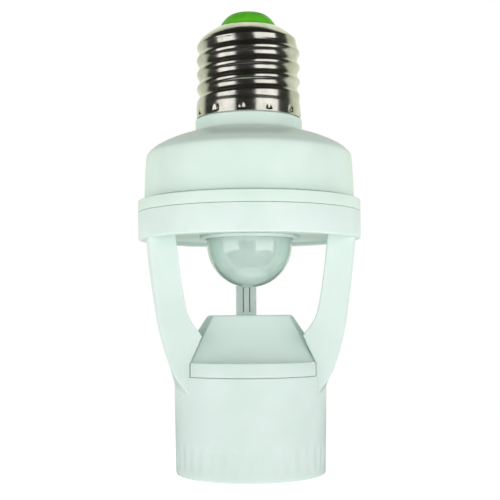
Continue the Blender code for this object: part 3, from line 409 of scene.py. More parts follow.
threadShape = {"crestArc": 1.05, "rootArc": 1.80, "halfPitch": 1.81, "depth": 0.65, "runOut": 0.28,
               "curveSteps": 16, "punchSides": (0.78, 0.99), "punchFoot": -0.18}


def threadDrop(share):
    # how far the thread has dropped, as a share of its depth, at a share of the way from crest to root
    s = SimpleNamespace(**threadShape)
    along = share * s.halfPitch
    meet = s.halfPitch * s.crestArc / (s.crestArc + s.rootArc)
    if along <= meet:
        return (s.crestArc - math.sqrt(s.crestArc ** 2 - along ** 2)) / s.depth
    back = s.halfPitch - along
    return 1 - (s.rootArc - math.sqrt(s.rootArc ** 2 - back ** 2)) / s.depth


def makeRolledThreadRule():
    tree, add, given, parts = startRule(
        "rolledThread", "Pitch", "Depth", "First Crest", "Start", "End",
        "Punch Count", "Punch Turn", "Punch Depth", "Punch Height", "Punch Level")
    angle = add(maths, (parts["Y"], parts["X"]), operation="ARCTAN2")

    # the crest climbs one pitch in each turn
    rise = add(maths, (parts["Z"], given["First Crest"]), operation="SUBTRACT")
    climbed = add(maths, (rise, given["Pitch"]), operation="DIVIDE")
    turned = add(maths, (angle, 2 * math.pi), operation="DIVIDE")
    turns = add(maths, (climbed, turned), operation="SUBTRACT")
    phase = add(maths, (turns,), operation="FRACT")
    fromRoot = add(maths, (phase, 0.5), operation="SUBTRACT")
    away = add(maths, (fromRoot,), operation="ABSOLUTE")
    share = add(maths, (away, -2.0, 1.0), operation="MULTIPLY_ADD")
    drop = add("ShaderNodeFloatCurve", {"Value": share})
    points = drop.mapping.curves[0].points
    points[0].location, points[1].location = (0.0, 0.0), (1.0, 1.0)
    steps = threadShape["curveSteps"]
    for i in range(1, steps):
        points.new(i / steps, threadDrop(i / steps))
    drop.mapping.update()

    # each groove fades in and out along its own turn
    below = add(maths, (fromRoot, given["Pitch"]), operation="MULTIPLY")
    groove = add(maths, (parts["Z"], below), operation="SUBTRACT")
    run = add(maths, (given["Pitch"], threadShape["runOut"]), operation="MULTIPLY")
    faded = fadedSpan(add, groove, given["Start"], given["End"], run)
    shape = add(maths, (drop, faded), operation="MULTIPLY")
    cut = add(maths, (shape, given["Depth"]), operation="MULTIPLY")

    # the punches press the skirt into the plastic under it, deepest at their lower edge
    moved = add(maths, (angle, given["Punch Turn"]), operation="ADD")
    around = add(maths, (moved, given["Punch Count"]), operation="MULTIPLY")
    beat = add(maths, (around,), operation="COSINE")
    (low, high), foot = threadShape["punchSides"], threadShape["punchFoot"]
    spot = add("ShaderNodeMapRange", {"Value": beat, "From Min": low, "From Max": high},
               interpolation_type="SMOOTHSTEP")
    apart = add(maths, (parts["Z"], given["Punch Level"]), operation="SUBTRACT")
    scaled = add(maths, (apart, given["Punch Height"]), operation="DIVIDE")
    slope = add("ShaderNodeMapRange", {"Value": scaled, "To Min": 1.0, "To Max": 0.0})
    edge = add("ShaderNodeMapRange", {"Value": scaled, "From Min": foot, "From Max": 0.0})
    band = add(maths, (slope, edge), operation="MULTIPLY")
    dent = add(maths, (spot, band), operation="MULTIPLY")
    sink = add(maths, (dent, given["Punch Depth"]), operation="MULTIPLY")
    total = add(maths, (cut, sink), operation="ADD")
    inwards = add(maths, (total, -1.0), operation="MULTIPLY")
    return endRule(tree, add, given, pushedOut(add, given, parts, inwards))


rolledThreadRule = makeRolledThreadRule()


def sheetProfile(line, wall):
    # a line of (radius, height) given a wall on its inner side, closed round both ends
    inner = []
    for i, (r, z) in enumerate(line):
        before = Vector(line[max(i - 1, 0)])
        after = Vector(line[min(i + 1, len(line) - 1)])
        along = (after - before).normalized()
        inner.append((r - along.y * wall, z + along.x * wall))
    return [*line, *reversed(inner)]


def evenRows(line, step):
    # the same line with a point at least every step
    found = [line[0]]
    for a, b in zip(line, line[1:]):
        count = max(1, math.ceil(math.dist(a, b) / step))
        found += [tuple(p + (q - p) * k / count for p, q in zip(a, b)) for k in range(1, count + 1)]
    return found


# Screw cap

screwCap = {
    **millimetres(
        skirtR=13.3, footZ=90.3, skirtTop=93.2, crestR=13.17, beltZ=94.2, beltTop=107.3, wall=0.35,
        rowStep=0.17,
        shoulder=((13.17, 108.2), (13.0, 109.0), (12.6, 109.75), (12.05, 110.5), (10.8, 111.6),
                  (8.8, 112.95), (7.3, 113.45), (6.75, 113.5)),
    ),
    "columns": 240,
    "thread": {
        **millimetres(**{"Pitch": 3.62, "Depth": 0.65, "First Crest": 99.85, "Start": 94.1, "End": 109.6,
                         "Punch Depth": 0.42, "Punch Height": 1.5, "Punch Level": 91.0}),
        "Punch Count": 12.0, "Punch Turn": math.radians(11), "Finish": nickelPlatedBrass,
    },
}


def makeScrewCap():
    s = SimpleNamespace(**screwCap)
    skirt = [(s.skirtR, s.footZ), (s.skirtR, s.skirtTop), (s.crestR, s.beltZ), (s.crestR, s.beltTop)]
    line = evenRows([*skirt, *smoothLine(s.shoulder, 5)], s.rowStep)
    shell = turnedPiece("screwCapShell", sheetProfile(line, s.wall), s.columns)
    grownByTree(shell, rolledThreadRule, s.thread)
    finishPiece(shell, nickelPlatedBrass, "nickel", "screw_shell", sharp=50)


capTip = millimetres(
    topZ=117.0, dishZ=116.4, dishR=2.4, dishEdgeR=2.55, dishEdge=0.1, rimZ=113.55, flangeR=7.2,
    neckR=6.1, bore=1.3,
    # radius and depth under the top
    crown=((2.7, 0.0), (3.6, 0.0), (4.4, 0.12), (5.1, 0.5), (5.8, 1.1), (6.4, 1.8), (6.9, 2.5)),
    # radius and height of what lies inside the shell
    root=((6.1, 112.65), (7.55, 112.35), (9.65, 110.8), (11.0, 109.7), (11.0, 108.8), (1.3, 108.8)),
    contactTop=117.1, contactFlat=1.2, contactR=2.1, contactFall=0.22, contactRound=0.15,
    contactLift=0.3, contactEdge=0.05, pinR=1.0, tailZ=108.0,
)


def makeCapTip():
    s = SimpleNamespace(**capTip)
    crown = smoothLine([*[(r, s.topZ - depth) for r, depth in s.crown],
                        (s.flangeR, s.rimZ + 0.1 * mm), (s.flangeR, s.rimZ)], 5)
    insulator = turnedPiece("tipInsulator", [
        (s.bore, s.dishZ), (s.dishR, s.dishZ), (s.dishEdgeR, s.topZ - s.dishEdge), *crown,
        (s.neckR, s.rimZ), *s.root,
    ], 96)
    finishPiece(insulator, greenThermoset, "green_insulator", "insulator", sharp=40)
    seat = s.dishZ + s.contactLift
    contact = turnedPiece("tipContact", softCorners([
        (0.0, s.contactTop), (s.contactFlat, s.contactTop),
        (s.contactR, s.contactTop - s.contactFall, s.contactRound),
        (s.contactR, seat, s.contactEdge), (s.pinR, seat), (s.pinR, s.tailZ), (0.0, s.tailZ),
    ]), 48)
    finishPiece(contact, nickelPlatedBrass, "nickel", "centre_contact")


makeScrewCap()
makeCapTip()
print("screw cap made")


# Dome cover

domeCover = {
    **millimetres(
        ringR=28.35, footZ=66.38, footRound=0.16, bandTop=69.25, bandRound=0.22, footR=26.8,
        grooveHalf=0.3, grooveDepth=0.35, collarR=13.6, collarZ=87.25, collarTop=90.0, collarRound=0.3,
        spigotR=12.65, spigotTop=92.3, noseR=11.45, noseFoot=93.0, noseTop=99.0, boreR=9.45, wall=1.8,
        lipR=26.15, lipZ=64.2, inside=((9.65, 84.4), (18.8, 83.1), (24.4, 79.9)),
    ),
    # radius and height in millimetres, so that the curves are drawn at that scale
    "side": ((26.8, 69.25), (26.62, 72.0), (26.5, 75.5), (26.2, 79.95)),
    "crown": ((26.2, 79.95), (25.95, 80.9), (25.3, 81.7), (23.5, 83.1), (19.7, 84.9), (16.0, 86.1),
              (14.1, 86.6)),
}


def makeDomeCover():
    s = SimpleNamespace(**domeCover)
    curves = [*smoothLine(s.side, 3)[1:], *smoothLine(s.crown, 5)[1:]]
    inner, groove = s.lipR - s.wall, s.footR - s.grooveDepth
    cover = turnedPiece("domeCover", softCorners([
        (s.noseR, s.noseTop, 0.2 * mm), (s.boreR, s.noseTop), *s.inside, (inner, s.bandTop),
        (inner, s.lipZ), (s.lipR, s.lipZ, 0.3 * mm), (s.lipR, s.footZ),
        (s.ringR, s.footZ, s.footRound), (s.ringR, s.bandTop, s.bandRound),
        # the dark groove at the dome's foot
        (s.footR + 0.22 * mm, s.bandTop), (s.footR + 0.14 * mm, s.bandTop - s.grooveHalf),
        (groove, s.bandTop - s.grooveHalf), (groove, s.bandTop + s.grooveHalf),
        (s.footR - 0.02 * mm, s.bandTop + 0.36 * mm), *[(r * mm, z * mm) for r, z in curves],
        (s.collarR + 0.12 * mm, s.collarZ - 0.3 * mm), (s.collarR, s.collarZ),
        (s.collarR, s.collarTop, s.collarRound), (s.spigotR, s.collarTop),
        (s.spigotR, s.spigotTop), (s.noseR, s.noseFoot),
    ]), 160)
    finishPiece(cover, mouldedAbsCover, "white_plastic", "dome_cover", sharp=38)


makeDomeCover()
print("dome cover made")


# Rule for the grip flutes at the sleeve's mouth

def makeGripFluteRule():
    tree, add, given, parts = startRule("gripFlutes", "Flutes", "Depth", "Low", "High", "Run Out", "Inside")
    angle = add(maths, (parts["Y"], parts["X"]), operation="ARCTAN2")
    around = add(maths, (angle, given["Flutes"]), operation="MULTIPLY")
    wave = add(maths, (around,), operation="COSINE")
    hollow = add(maths, (wave, 0.5, -0.5), operation="MULTIPLY_ADD")
    faded = fadedSpan(add, parts["Z"], given["Low"], given["High"], given["Run Out"])
    flat = add("ShaderNodeCombineXYZ", {"X": parts["X"], "Y": parts["Y"]})
    radius = add("ShaderNodeVectorMath", (flat,), operation="LENGTH").outputs["Value"]
    outer = add(maths, (radius, given["Inside"]), operation="GREATER_THAN")
    shape = add(maths, (hollow, faded), operation="MULTIPLY")
    kept = add(maths, (shape, outer), operation="MULTIPLY")
    reach = add(maths, (kept, given["Depth"]), operation="MULTIPLY")
    return endRule(tree, add, given, pushedOut(add, given, parts, reach))


# Cage: ring, floor, two arms and the sleeve in one moulding

cage = {
    **millimetres(
        ringR=28.35, ringZ=59.5, ringTop=66.3, ringWall=1.9, rimR=25.7, rimLean=0.15, floorZ=60.5,
        floorTop=62.3, floorHoleR=12.2, halfWidth=11.35, flange=1.8, web=1.8, armEdge=0.3, armGap=0.15,
        webRound=0.8, setback=3.0, heelX=15.5, noseZ=35.1, mouthR=19.1, sleeveTopR=19.45, sleeveH=25.2,
        boreR=17.25, mouthRound=0.9, shelfR=15.9, shelfZ=16.5, shelfTop=17.7, bossReach=20.0, bossR=2.8,
        bossBore=1.4, bossZ=61.4, bossTop=65.4, ductHole=((-3.0, 14.5, 59.0), (3.0, 19.7, 63.3)),
    ),
    "bossAngles": (45, 135, 270),
    "flutes": {
        **millimetres(**{"Depth": 0.30, "Low": 1.3, "High": 9.0, "Run Out": 2.2, "Inside": 18.0}),
        "Flutes": 36.0, "Finish": mouldedAbs,
    },
    # the arm's lines down its height, as a size and a height in millimetres
    "fallLine": ((0.75, 61.4), (0.6, 44.1), (0.35, 33.0), (0.35, 27.6), (1.2, 24.3),
                 (2.4, 22.4), (3.5, 20.2)),
    "cornerLine": ((1.6, 61.4), (1.2, 44.1), (0.95, 33.0), (0.8, 27.6), (0.7, 24.3),
                   (0.45, 22.4), (0.3, 20.2)),
    "webLine": ((26.25, 61.4), (26.0, 56.0), (25.1, 48.4), (23.7, 39.0), (22.2, 32.65), (20.6, 27.7),
                (19.3, 22.4), (19.0, 20.2)),
    "edgeLine": ((18.9, 61.4), (18.0, 53.0), (17.0, 46.0), (15.9, 40.6), (14.4, 37.8), (13.1, 36.2)),
    "edgeFoot": ((12.5, 35.1), (12.95, 34.3), (13.3, 33.3), (15.55, 28.45), (15.5, 28.0), (15.5, 20.2)),
    "levels": (20.4, 61.4, 0.82), "extraLevels": (28.0, 28.45, 33.3, 34.3, 34.7, 35.1, 35.7, 36.2),
}


def lineAt(line, z):
    # the line's first value at a height, from points given top to bottom
    for (a, high), (b, low) in zip(line, line[1:]):
        if low <= z <= high:
            return b + (a - b) * (z - low) / (high - low) if high > low else a
    return line[0][0] if z > line[0][1] else line[-1][0]


def armSection(z, outerX, fall, corner, frontX, backX):
    # one level cut through an arm: a U that opens towards the axis, with a nearly flat outer face
    s = SimpleNamespace(**cage)
    half, edge = s.halfWidth, s.armEdge
    wallY = half - s.flange

    def faceX(y):
        return outerX - fall * (y / half) ** 2

    endX = faceX(half - corner)
    limit = min(endX - corner, faceX(wallY) - s.web) - s.armGap
    frontX, backX = min(frontX, limit), min(backX, limit)
    turns = [math.radians(15 * i) for i in range(1, 7)]
    rounding = [(endX - corner * (1 - math.cos(a)), half - corner * (1 - math.sin(a))) for a in turns]
    face = [(faceX(y), y) for y in [(half - corner) * (i / 6 - 1) for i in range(13)]]
    inside = [(faceX(y) - s.web, y) for y in [wallY * (1 - i / 6) for i in range(13)]]
    inside[0], inside[-1] = (*inside[0], s.webRound), (*inside[-1], s.webRound)
    corners = [(frontX, -half, edge), *[(x, -y) for x, y in reversed(rounding)], *face, *rounding,
               (backX, half, edge), (backX, wallY, edge), *inside, (frontX, -wallY, edge)]
    return [(x, y, z) for x, y in softCorners(corners, 5)]


def makeArm(side):
    s = SimpleNamespace(**cage)
    webLine, fallLine, cornerLine, edgeLine = (
        smoothLine(cage[line], 6) for line in ("webLine", "fallLine", "cornerLine", "edgeLine"))
    edgeLine += s.edgeFoot
    low, top, step = s.levels
    evenly = [low + step * i for i in range(math.ceil((top - low) / step))]
    rows = []
    for level in sorted({round(z, 4) for z in (*evenly, top, *s.extraLevels)}):
        outerX, fall, corner, front = (
            lineAt(line, level) * mm for line in (webLine, fallLine, cornerLine, edgeLine))
        back = max(s.heelX, front + s.setback) if level * mm >= s.noseZ else s.heelX
        row = armSection(level * mm, outerX, fall, corner, front, back)
        rows.append([(side * x, y, z) for x, y, z in row])
    return stackedPiece("arm", rows)


def makeCage():
    s = SimpleNamespace(**cage)
    ringBore = s.ringR - s.ringWall
    ring = turnedPiece("cageMoulding", softCorners([
        (s.ringR, s.ringTop, 0.16 * mm), (s.ringR, s.ringZ, 0.5 * mm), (s.rimR, s.ringZ, 0.3 * mm),
        (s.rimR - s.rimLean, s.floorZ, 0.25 * mm), (s.floorHoleR, s.floorZ),
        (s.floorHoleR, s.floorTop), (ringBore, s.floorTop), (ringBore, s.ringTop),
    ]), 160)
    side = [(s.sleeveTopR + (s.mouthR - s.sleeveTopR) * i / 40, s.sleeveH * (1 - i / 40))
            for i in range(1, 39)]
    sleeve = turnedPiece("sleeve", softCorners([
        (s.sleeveTopR, s.sleeveH, 0.25 * mm), *side, (s.mouthR, 0.0, s.mouthRound),
        (s.boreR, 0.0, 0.25 * mm), (s.boreR, s.shelfZ), (s.shelfR, s.shelfZ),
        (s.shelfR, s.shelfTop), (s.boreR, s.shelfTop), (s.boreR, s.sleeveH),
    ]), 216)
    grownByTree(sleeve, makeGripFluteRule(), s.flutes)
    carved(ring, "UNION", makeArm(1), makeArm(-1), sleeve)
    for angle in s.bossAngles:
        x, y = s.bossReach * math.cos(math.radians(angle)), s.bossReach * math.sin(math.radians(angle))
        carved(ring, "UNION", pegPiece("boss", x, y, s.bossR, s.bossZ, s.bossTop, 20))
        carved(ring, "DIFFERENCE", pegPiece("bossHole", x, y, s.bossBore, s.floorTop, s.bossTop + mm, 16))
    carved(ring, "DIFFERENCE", blockPiece("ductHole", *s.ductHole))
    finishPiece(ring, mouldedAbs, "white_plastic", "cage", sharp=34)


makeCage()
print("cage made")


# Lens and its bezel

ballLens = {
    **millimetres(
        radius=10.87, centreZ=58.25, wall=0.9, flangeR=13.3, flangeZ=62.6, flangeTop=63.4,
        ringDepth=0.12, bezelR=12.77, bezelZ=59.7, bezelTop=60.45, bezelBore=11.17, bezelNeckR=11.9,
        bezelNeckTop=62.3,
    ),
    "rings": 9,
}


def makeBallLens():
    s = SimpleNamespace(**ballLens)
    outer = [(s.radius * math.cos(a), s.centreZ + s.radius * math.sin(a)) for a in
             [math.radians(-90.0 * i / 40) for i in range(41)]]
    outer[-1] = (0.0, outer[-1][1])
    inner = []
    steps = 4 * s.rings
    for i in range(steps + 1):
        # the inner face steps in rings that bend the heat towards the sensor
        angle = math.radians(-90.0 + 90.0 * i / steps)
        step = s.ringDepth * (i % 4) / 3 if 0 < i < steps else 0.0
        reach = s.radius - s.wall + step
        inner.append((max(reach * math.cos(angle), 0.0), s.centreZ + reach * math.sin(angle)))
    inner[0] = (0.0, inner[0][1])
    profile = [*outer, *inner, (s.radius - s.wall, s.flangeTop), (s.flangeR, s.flangeTop),
               (s.flangeR, s.flangeZ), (s.radius, s.flangeZ)]
    finishPiece(turnedPiece("ballLens", profile), pearlPolyethylene, "lens_plastic", "lens", sharp=40)
    bezel = turnedPiece("lensBezel", softCorners([
        (s.bezelNeckR, s.bezelNeckTop), (s.bezelNeckR, s.bezelTop), (s.bezelR, s.bezelTop),
        (s.bezelR, s.bezelZ, 0.3 * mm), (s.bezelBore, s.bezelZ, 0.25 * mm),
        (s.bezelBore, s.bezelNeckTop),
    ]), 96)
    finishPiece(bezel, mouldedAbs, "white_plastic", "lens_bezel")


makeBallLens()
print("lens made")


# Wire duct behind the lens

wireDuct = millimetres(
    half=2.7, frontY=14.8, backY=19.4, footZ=25.5, headZ=62.6, headTop=63.4, headMargin=0.9, lap=0.2,
    round=0.35, groove=1.0, backWall=0.8, coverHalf=0.78, coverWall=0.8, coverZ=29.05, coverTop=60.2,
    coverRound=0.2, bridgeZ=40.8, bridgeHalf=2.0, bridgeH=0.7, bridgeGap=0.3, bridgeRound=0.15,
    neckHalf=0.68, neckHalfH=0.23, neckBack=0.4, neckFront=0.35,
)


def makeWireDuct():
    s = SimpleNamespace(**wireDuct)
    wide, margin = s.half + s.headMargin, s.headMargin
    duct = blockPiece("wireDuct", (-s.half, s.frontY, s.footZ),
                      (s.half, s.backY, s.headZ + s.lap), s.round)
    carved(duct, "UNION", blockPiece("ductHead", (-wide, s.frontY - margin, s.headZ),
                                     (wide, s.backY + margin, s.headTop)))
    carved(duct, "DIFFERENCE", blockPiece("ductChannel", (-s.groove, s.frontY - 2 * mm, s.footZ - mm),
                                          (s.groove, s.backY - s.backWall, s.headTop + mm)))
    finishPiece(duct, naturalPolypropyleneWithPaintedLight, "white_plastic", "wire_duct")

    # the cover, with a small bridge across its front on a neck
    cover = blockPiece("ductCover", (-s.coverHalf, s.frontY, s.coverZ),
                       (s.coverHalf, s.frontY + s.coverWall, s.coverTop), s.coverRound)
    front, middle, half = s.frontY - s.bridgeGap, s.bridgeZ, s.bridgeH / 2
    neck = blockPiece("bridgeNeck", (-s.neckHalf, front - s.neckFront, middle - s.neckHalfH),
                      (s.neckHalf, s.frontY + s.neckBack, middle + s.neckHalfH))
    bridge = blockPiece("bridge", (-s.bridgeHalf, front - s.bridgeH, middle - half),
                        (s.bridgeHalf, front, middle + half), s.bridgeRound)
    carved(cover, "UNION", neck, bridge)
    finishPiece(cover, naturalPolypropyleneWithPaintedLight, "white_plastic", "duct_cover")


makeWireDuct()
print("wire duct made")


# Socket cap: a cone with a flat slope and a ledge front and back

socketCap = millimetres(
    topR=10.8, topZ=40.35, footR=18.4, ledgeZ=28.75, slopeTopY=5.3, slopeFootY=10.3, edge=0.5,
    topRound=0.6, coneFoot=0.9, bandR=19.4, bandHalf=15.38, bandZ=25.29, bandRound=0.3, coreR=17.4,
    spigotR=16.95, spigotZ=21.0, wall=1.6, hollowMore=2.5,
    ductSlot=((-3.0, 14.5, 20.0), (3.0, 20.4, 29.75)),
    # the band's edges: how far in they lie, and how far over its foot or under its ledge
    bandFoot=((0.12, 0.0), (0.0, 0.12)), bandLedge=((0.0, 0.28), (0.08, 0.08), (0.28, 0.0)),
)


def clippedRound(z, radius, half, corner, along="x"):
    # a level loop: a circle cut off flat on two sides, with rounded corners
    half = min(half, radius * 0.999)
    span = math.asin(half / radius)
    loop = []
    for turn in (0.0, math.pi):
        arc = [turn - span + 2 * span * i / 24 for i in range(25)]
        sizes = [corner, *[0.0] * 23, corner]
        loop += [(radius * math.cos(a), radius * math.sin(a), c) for a, c in zip(arc, sizes)]
    flat = softCorners(loop, 5)
    return [(x, y, z) if along == "x" else (y, x, z) for x, y in flat]


def makeSocketCap():
    s = SimpleNamespace(**socketCap)
    tall = s.topZ - s.ledgeZ
    lean, slope = (s.footR - s.topR) / tall, (s.slopeFootY - s.slopeTopY) / tall

    def coneRow(z, inset=0.0):
        radius = s.footR - lean * (z - s.ledgeZ) - inset
        half = s.slopeFootY - slope * (z - s.ledgeZ) - inset
        return clippedRound(z, radius, half, max(s.edge - inset, 0.05 * mm))

    rollZ = s.topZ - s.topRound
    levels = [s.ledgeZ - s.coneFoot, *[s.ledgeZ + (rollZ - s.ledgeZ) * i / 8 for i in range(9)]]
    rows = [coneRow(z) for z in levels]
    for step in range(1, 6):
        # the top edge rolls over in a quarter round
        turn = math.radians(18 * step)
        rows.append(coneRow(s.topZ - s.topRound * (1 - math.sin(turn)), s.topRound * (1 - math.cos(turn))))
    cap = stackedPiece("socketCap", rows)
    outline = [*[(s.bandZ + z, inset) for inset, z in s.bandFoot],
               *[(s.ledgeZ - z, inset) for inset, z in s.bandLedge]]
    band = [clippedRound(z, s.bandR - inset, s.bandHalf - inset, s.bandRound, "y") for z, inset in outline]
    coreTop, coreFoot = s.ledgeZ - 0.3 * mm, s.bandZ + 0.02 * mm
    core = turnedPiece("capCore", [(s.coreR, coreTop), (s.coreR, coreFoot), (s.spigotR, coreFoot),
                                   (s.spigotR, s.spigotZ), (0.0, s.spigotZ), (0.0, coreTop)])
    carved(cap, "UNION", stackedPiece("capBand", band), core)
    inner = []
    for i in range(9):
        z = s.spigotZ - mm + (s.topZ - s.wall - s.spigotZ + mm) * i / 8
        radius = min(s.footR - lean * (z - s.ledgeZ) - s.wall * 1.2, s.spigotR - s.wall)
        half = s.slopeFootY - slope * (z - s.ledgeZ) - s.wall * 1.1
        if z < s.ledgeZ - s.wall:
            half = s.slopeFootY + s.hollowMore
        inner.append(clippedRound(z, radius, half, 0.3 * mm))
    carved(cap, "DIFFERENCE", stackedPiece("capHollow", inner), blockPiece("ductSlot", *s.ductSlot))
    finishPiece(cap, mouldedAbs, "white_plastic", "socket_cap", sharp=34)


makeSocketCap()
print("socket cap made")


# Lamp socket inside the sleeve

lampSocket = millimetres(
    crestR=13.4, rootR=12.35, pitch=3.62, mouthZ=2.6, flangeZ=17.7, flangeR=7.2, wall=0.35,
    cornerDrop=0.8, lead=0.9, tail=0.3, rowStep=0.22, insertR=16.95, insertZ=18.0, insertTop=20.6,
    holeR=1.3, rivetX=10.0, contactY=4.2, rivetR=1.0, headR=1.8, headH=0.6, tongueHalf=2.5, tongueT=0.5,
    tongueEdge=0.15, tongueGap=0.3, tipZ=14.0, tongueEnd=6.6, tongueBend=1.9, rivetFoot=16.9,
    shellRivetFoot=17.05, rivetTop=21.7, shortRivetTop=20.9,
    # the tongue's outer face: Y and depth under its flat, then Y and height over its tip
    bend=((1.8, 0.0), (0.6, 1.0)),
    arc=((-0.4, 1.2), (-1.2, 0.55), (-2.0, 0.42), (-2.8, 0.6), (-4.0, 1.5)),
)


def makeLampShell():
    s = SimpleNamespace(**lampSocket)
    corner = s.flangeZ - s.cornerDrop
    mouth = [(s.crestR + 0.2 * mm, s.mouthZ), (s.crestR + 0.06 * mm, s.mouthZ + 0.4 * mm),
             (s.crestR, s.mouthZ + s.lead)]
    top = [(s.crestR, corner - 1.9 * mm), (s.crestR - 0.35 * mm, corner - 0.9 * mm), (s.rootR, corner),
           (s.rootR - 0.4 * mm, s.flangeZ - 0.2 * mm), (s.rootR - 0.9 * mm, s.flangeZ)]
    line = evenRows([*smoothLine(mouth, 4), *smoothLine(top, 4), (s.flangeR, s.flangeZ)], s.rowStep)
    shell = turnedPiece("lampShell", sheetProfile(line, s.wall), 144)
    grownByTree(shell, rolledThreadRule, {
        **screwCap["thread"], "First Crest": s.mouthZ + s.pitch / 2, "Start": s.mouthZ + s.lead,
        "End": corner - s.tail, "Punch Count": 0.0, "Punch Depth": 0.0,
    })
    finishPiece(shell, nickelPlatedBrass, "nickel", "lamp_shell", sharp=50)


def makeRivetRule():
    # a shank along each edge of the guide mesh, with a domed head at both of its ends
    tree, add, given, parts = startRule("socketRivets", "Shank Radius", "Head Radius", "Head Height")
    route = add("GeometryNodeMeshToCurve", {"Mesh": given["Geometry"]})
    ring = add("GeometryNodeCurvePrimitiveCircle", {"Resolution": 24, "Radius": given["Shank Radius"]})
    shank = add("GeometryNodeCurveToMesh", {"Curve": route, "Profile Curve": ring, "Fill Caps": True})
    ball = add("GeometryNodeMeshUVSphere", {"Segments": 32, "Rings": 16, "Radius": given["Head Radius"]})
    squeeze = add(maths, (given["Head Height"], given["Head Radius"]), operation="DIVIDE")
    above = add(maths, (parts["Z"], 0.0), operation="MAXIMUM")
    low = add(maths, (above, squeeze), operation="MULTIPLY")
    domed = add("ShaderNodeCombineXYZ", {"X": parts["X"], "Y": parts["Y"], "Z": low})
    head = add("GeometryNodeSetPosition", {"Geometry": ball, "Position": domed})
    down = add("GeometryNodeInputNamedAttribute", {"Name": "headDown"}, data_type="FLOAT")
    flip = add(maths, (down.outputs["Attribute"], math.pi), operation="MULTIPLY")
    turn = add("ShaderNodeCombineXYZ", {"X": flip})
    heads = add("GeometryNodeInstanceOnPoints", {
        "Points": given["Geometry"], "Instance": head, "Rotation": turn,
    })
    both = add("GeometryNodeJoinGeometry", {"Geometry": heads})
    tree.links.new(shank.outputs["Mesh"], both.inputs["Geometry"])
    return endRule(tree, add, given, both)


def makeSocketInside():
    s = SimpleNamespace(**lampSocket)
    insert = turnedPiece("socketInsert", softCorners([
        (0.0, s.insertTop), (s.insertR, s.insertTop, 0.3 * mm), (s.insertR, s.insertZ, 0.2 * mm),
        (0.0, s.insertZ),
    ]), 96)
    for name, x, y in (("contactHole", 0.0, s.contactY), ("leftHole", -s.rivetX, 0.0),
                       ("rightHole", s.rivetX, 0.0)):
        carved(insert, "DIFFERENCE", pegPiece(name, x, y, s.holeR, s.insertZ - mm, s.insertTop + mm, 24))
    finishPiece(insert, pressedSteatite, "ceramic", "socket_insert")

    # the sprung tongue, a bent strip seen from its side
    top, half = s.insertZ - s.tongueGap, s.tongueHalf
    bend = smoothLine([*[(y, top - z) for y, z in s.bend], *[(y, s.tipZ + z) for y, z in s.arc]], 4)
    outline = sheetProfile([(s.tongueEnd, top), (s.tongueBend, top), *bend], s.tongueT)
    tongue = stackedPiece("contactTongue", [
        [(x, y, z) for y, z in outline] for x in (-half, -half + s.tongueEdge, half - s.tongueEdge, half)])
    carved(tongue, "DIFFERENCE",
           pegPiece("tongueHole", 0.0, s.contactY, s.holeR, top - 2 * mm, top + mm, 24))
    finishPiece(tongue, stampedBrass, "brass", "lamp_contact")

    rule = makeRivetRule()
    for name, x, y, low, high, stoodFor in (
        ("contactRivet", 0.0, s.contactY, s.rivetFoot, s.rivetTop, "contact_rivet"),
        ("rightShellRivet", s.rivetX, 0.0, s.shellRivetFoot, s.rivetTop, "shell_rivet_1"),
        ("leftShellRivet", -s.rivetX, 0.0, s.shellRivetFoot, s.shortRivetTop, "shell_rivet_2"),
    ):
        guide = bpy.data.meshes.new(name)
        guide.from_pydata([(x, y, low), (x, y, high)], [(0, 1)], [])
        guide.attributes.new("headDown", "FLOAT", "POINT").data[0].value = 1.0
        rivet = grownByTree(addPiece(name, guide), rule, {
            "Shank Radius": s.rivetR, "Head Radius": s.headR, "Head Height": s.headH,
            "Finish": stampedBrass,
        })
        finishPiece(rivet, stampedBrass, "brass", stoodFor)


makeLampShell()
makeSocketInside()
print("lamp socket made")


# Finishes of the CAD nodes that stay: what is sealed inside

insideFinishes = {
    glassEpoxyLaminate: ("circuit_board",), pearlPolyethylene: ("light_sensor",),
    pressedSteatite: ("fuse_resistor",), redSleeving: ("film_capacitor", "lamp_live_lead"),
    nickelPlatedBrass: ("pir_sensor", "board_screw_1", "board_screw_2", "board_screw_3"),
    blueRelayCase: ("relay", "neutral_lead", "lamp_neutral_lead"),
    stampedBrass: ("contact_terminal", "shell_terminal"),
    blackEpoxyMoulding: ("sensor_window", "sensor_spacer", "filter_capacitor", "bridge_rectifier",
                         "controller_chip", "live_lead"),
}
for finish, names in insideFinishes.items():
    for name in names:
        if not nodes[name].material_slots:
            nodes[name].data.materials.append(finish)
        for place in nodes[name].material_slots:
            place.material = finish
print("inside pieces finished:", sum(map(len, insideFinishes.values())))


# Camera, at the photo's angle: level, at the height of the socket cap's top

view = {"distance": 262 * mm, "height": 40.35 * mm, "turn": 3.5, "roll": -0.4, "lens": 73.6, "sensor": 36.0,
        "shiftY": 0.13, "clip": (0.01, 20.0)}


def makeCamera():
    s = SimpleNamespace(**view)
    turn = math.radians(s.turn)
    made = addPiece("camera", bpy.data.cameras.new("camera"))
    made.data.lens, made.data.sensor_width, made.data.shift_y = s.lens, s.sensor, s.shiftY
    made.data.clip_start, made.data.clip_end = s.clip
    place = Matrix.Translation((-s.distance * math.sin(turn), -s.distance * math.cos(turn), s.height))
    aim = Matrix.Rotation(-turn, 4, "Z") @ Matrix.Rotation(math.radians(90), 4, "X")
    made.matrix_world = place @ aim @ Matrix.Rotation(math.radians(s.roll), 4, "Z")
    bpy.context.scene.camera = made


# Studio: two tall soft boxes, a room that the world paints, and a white sheet underfoot

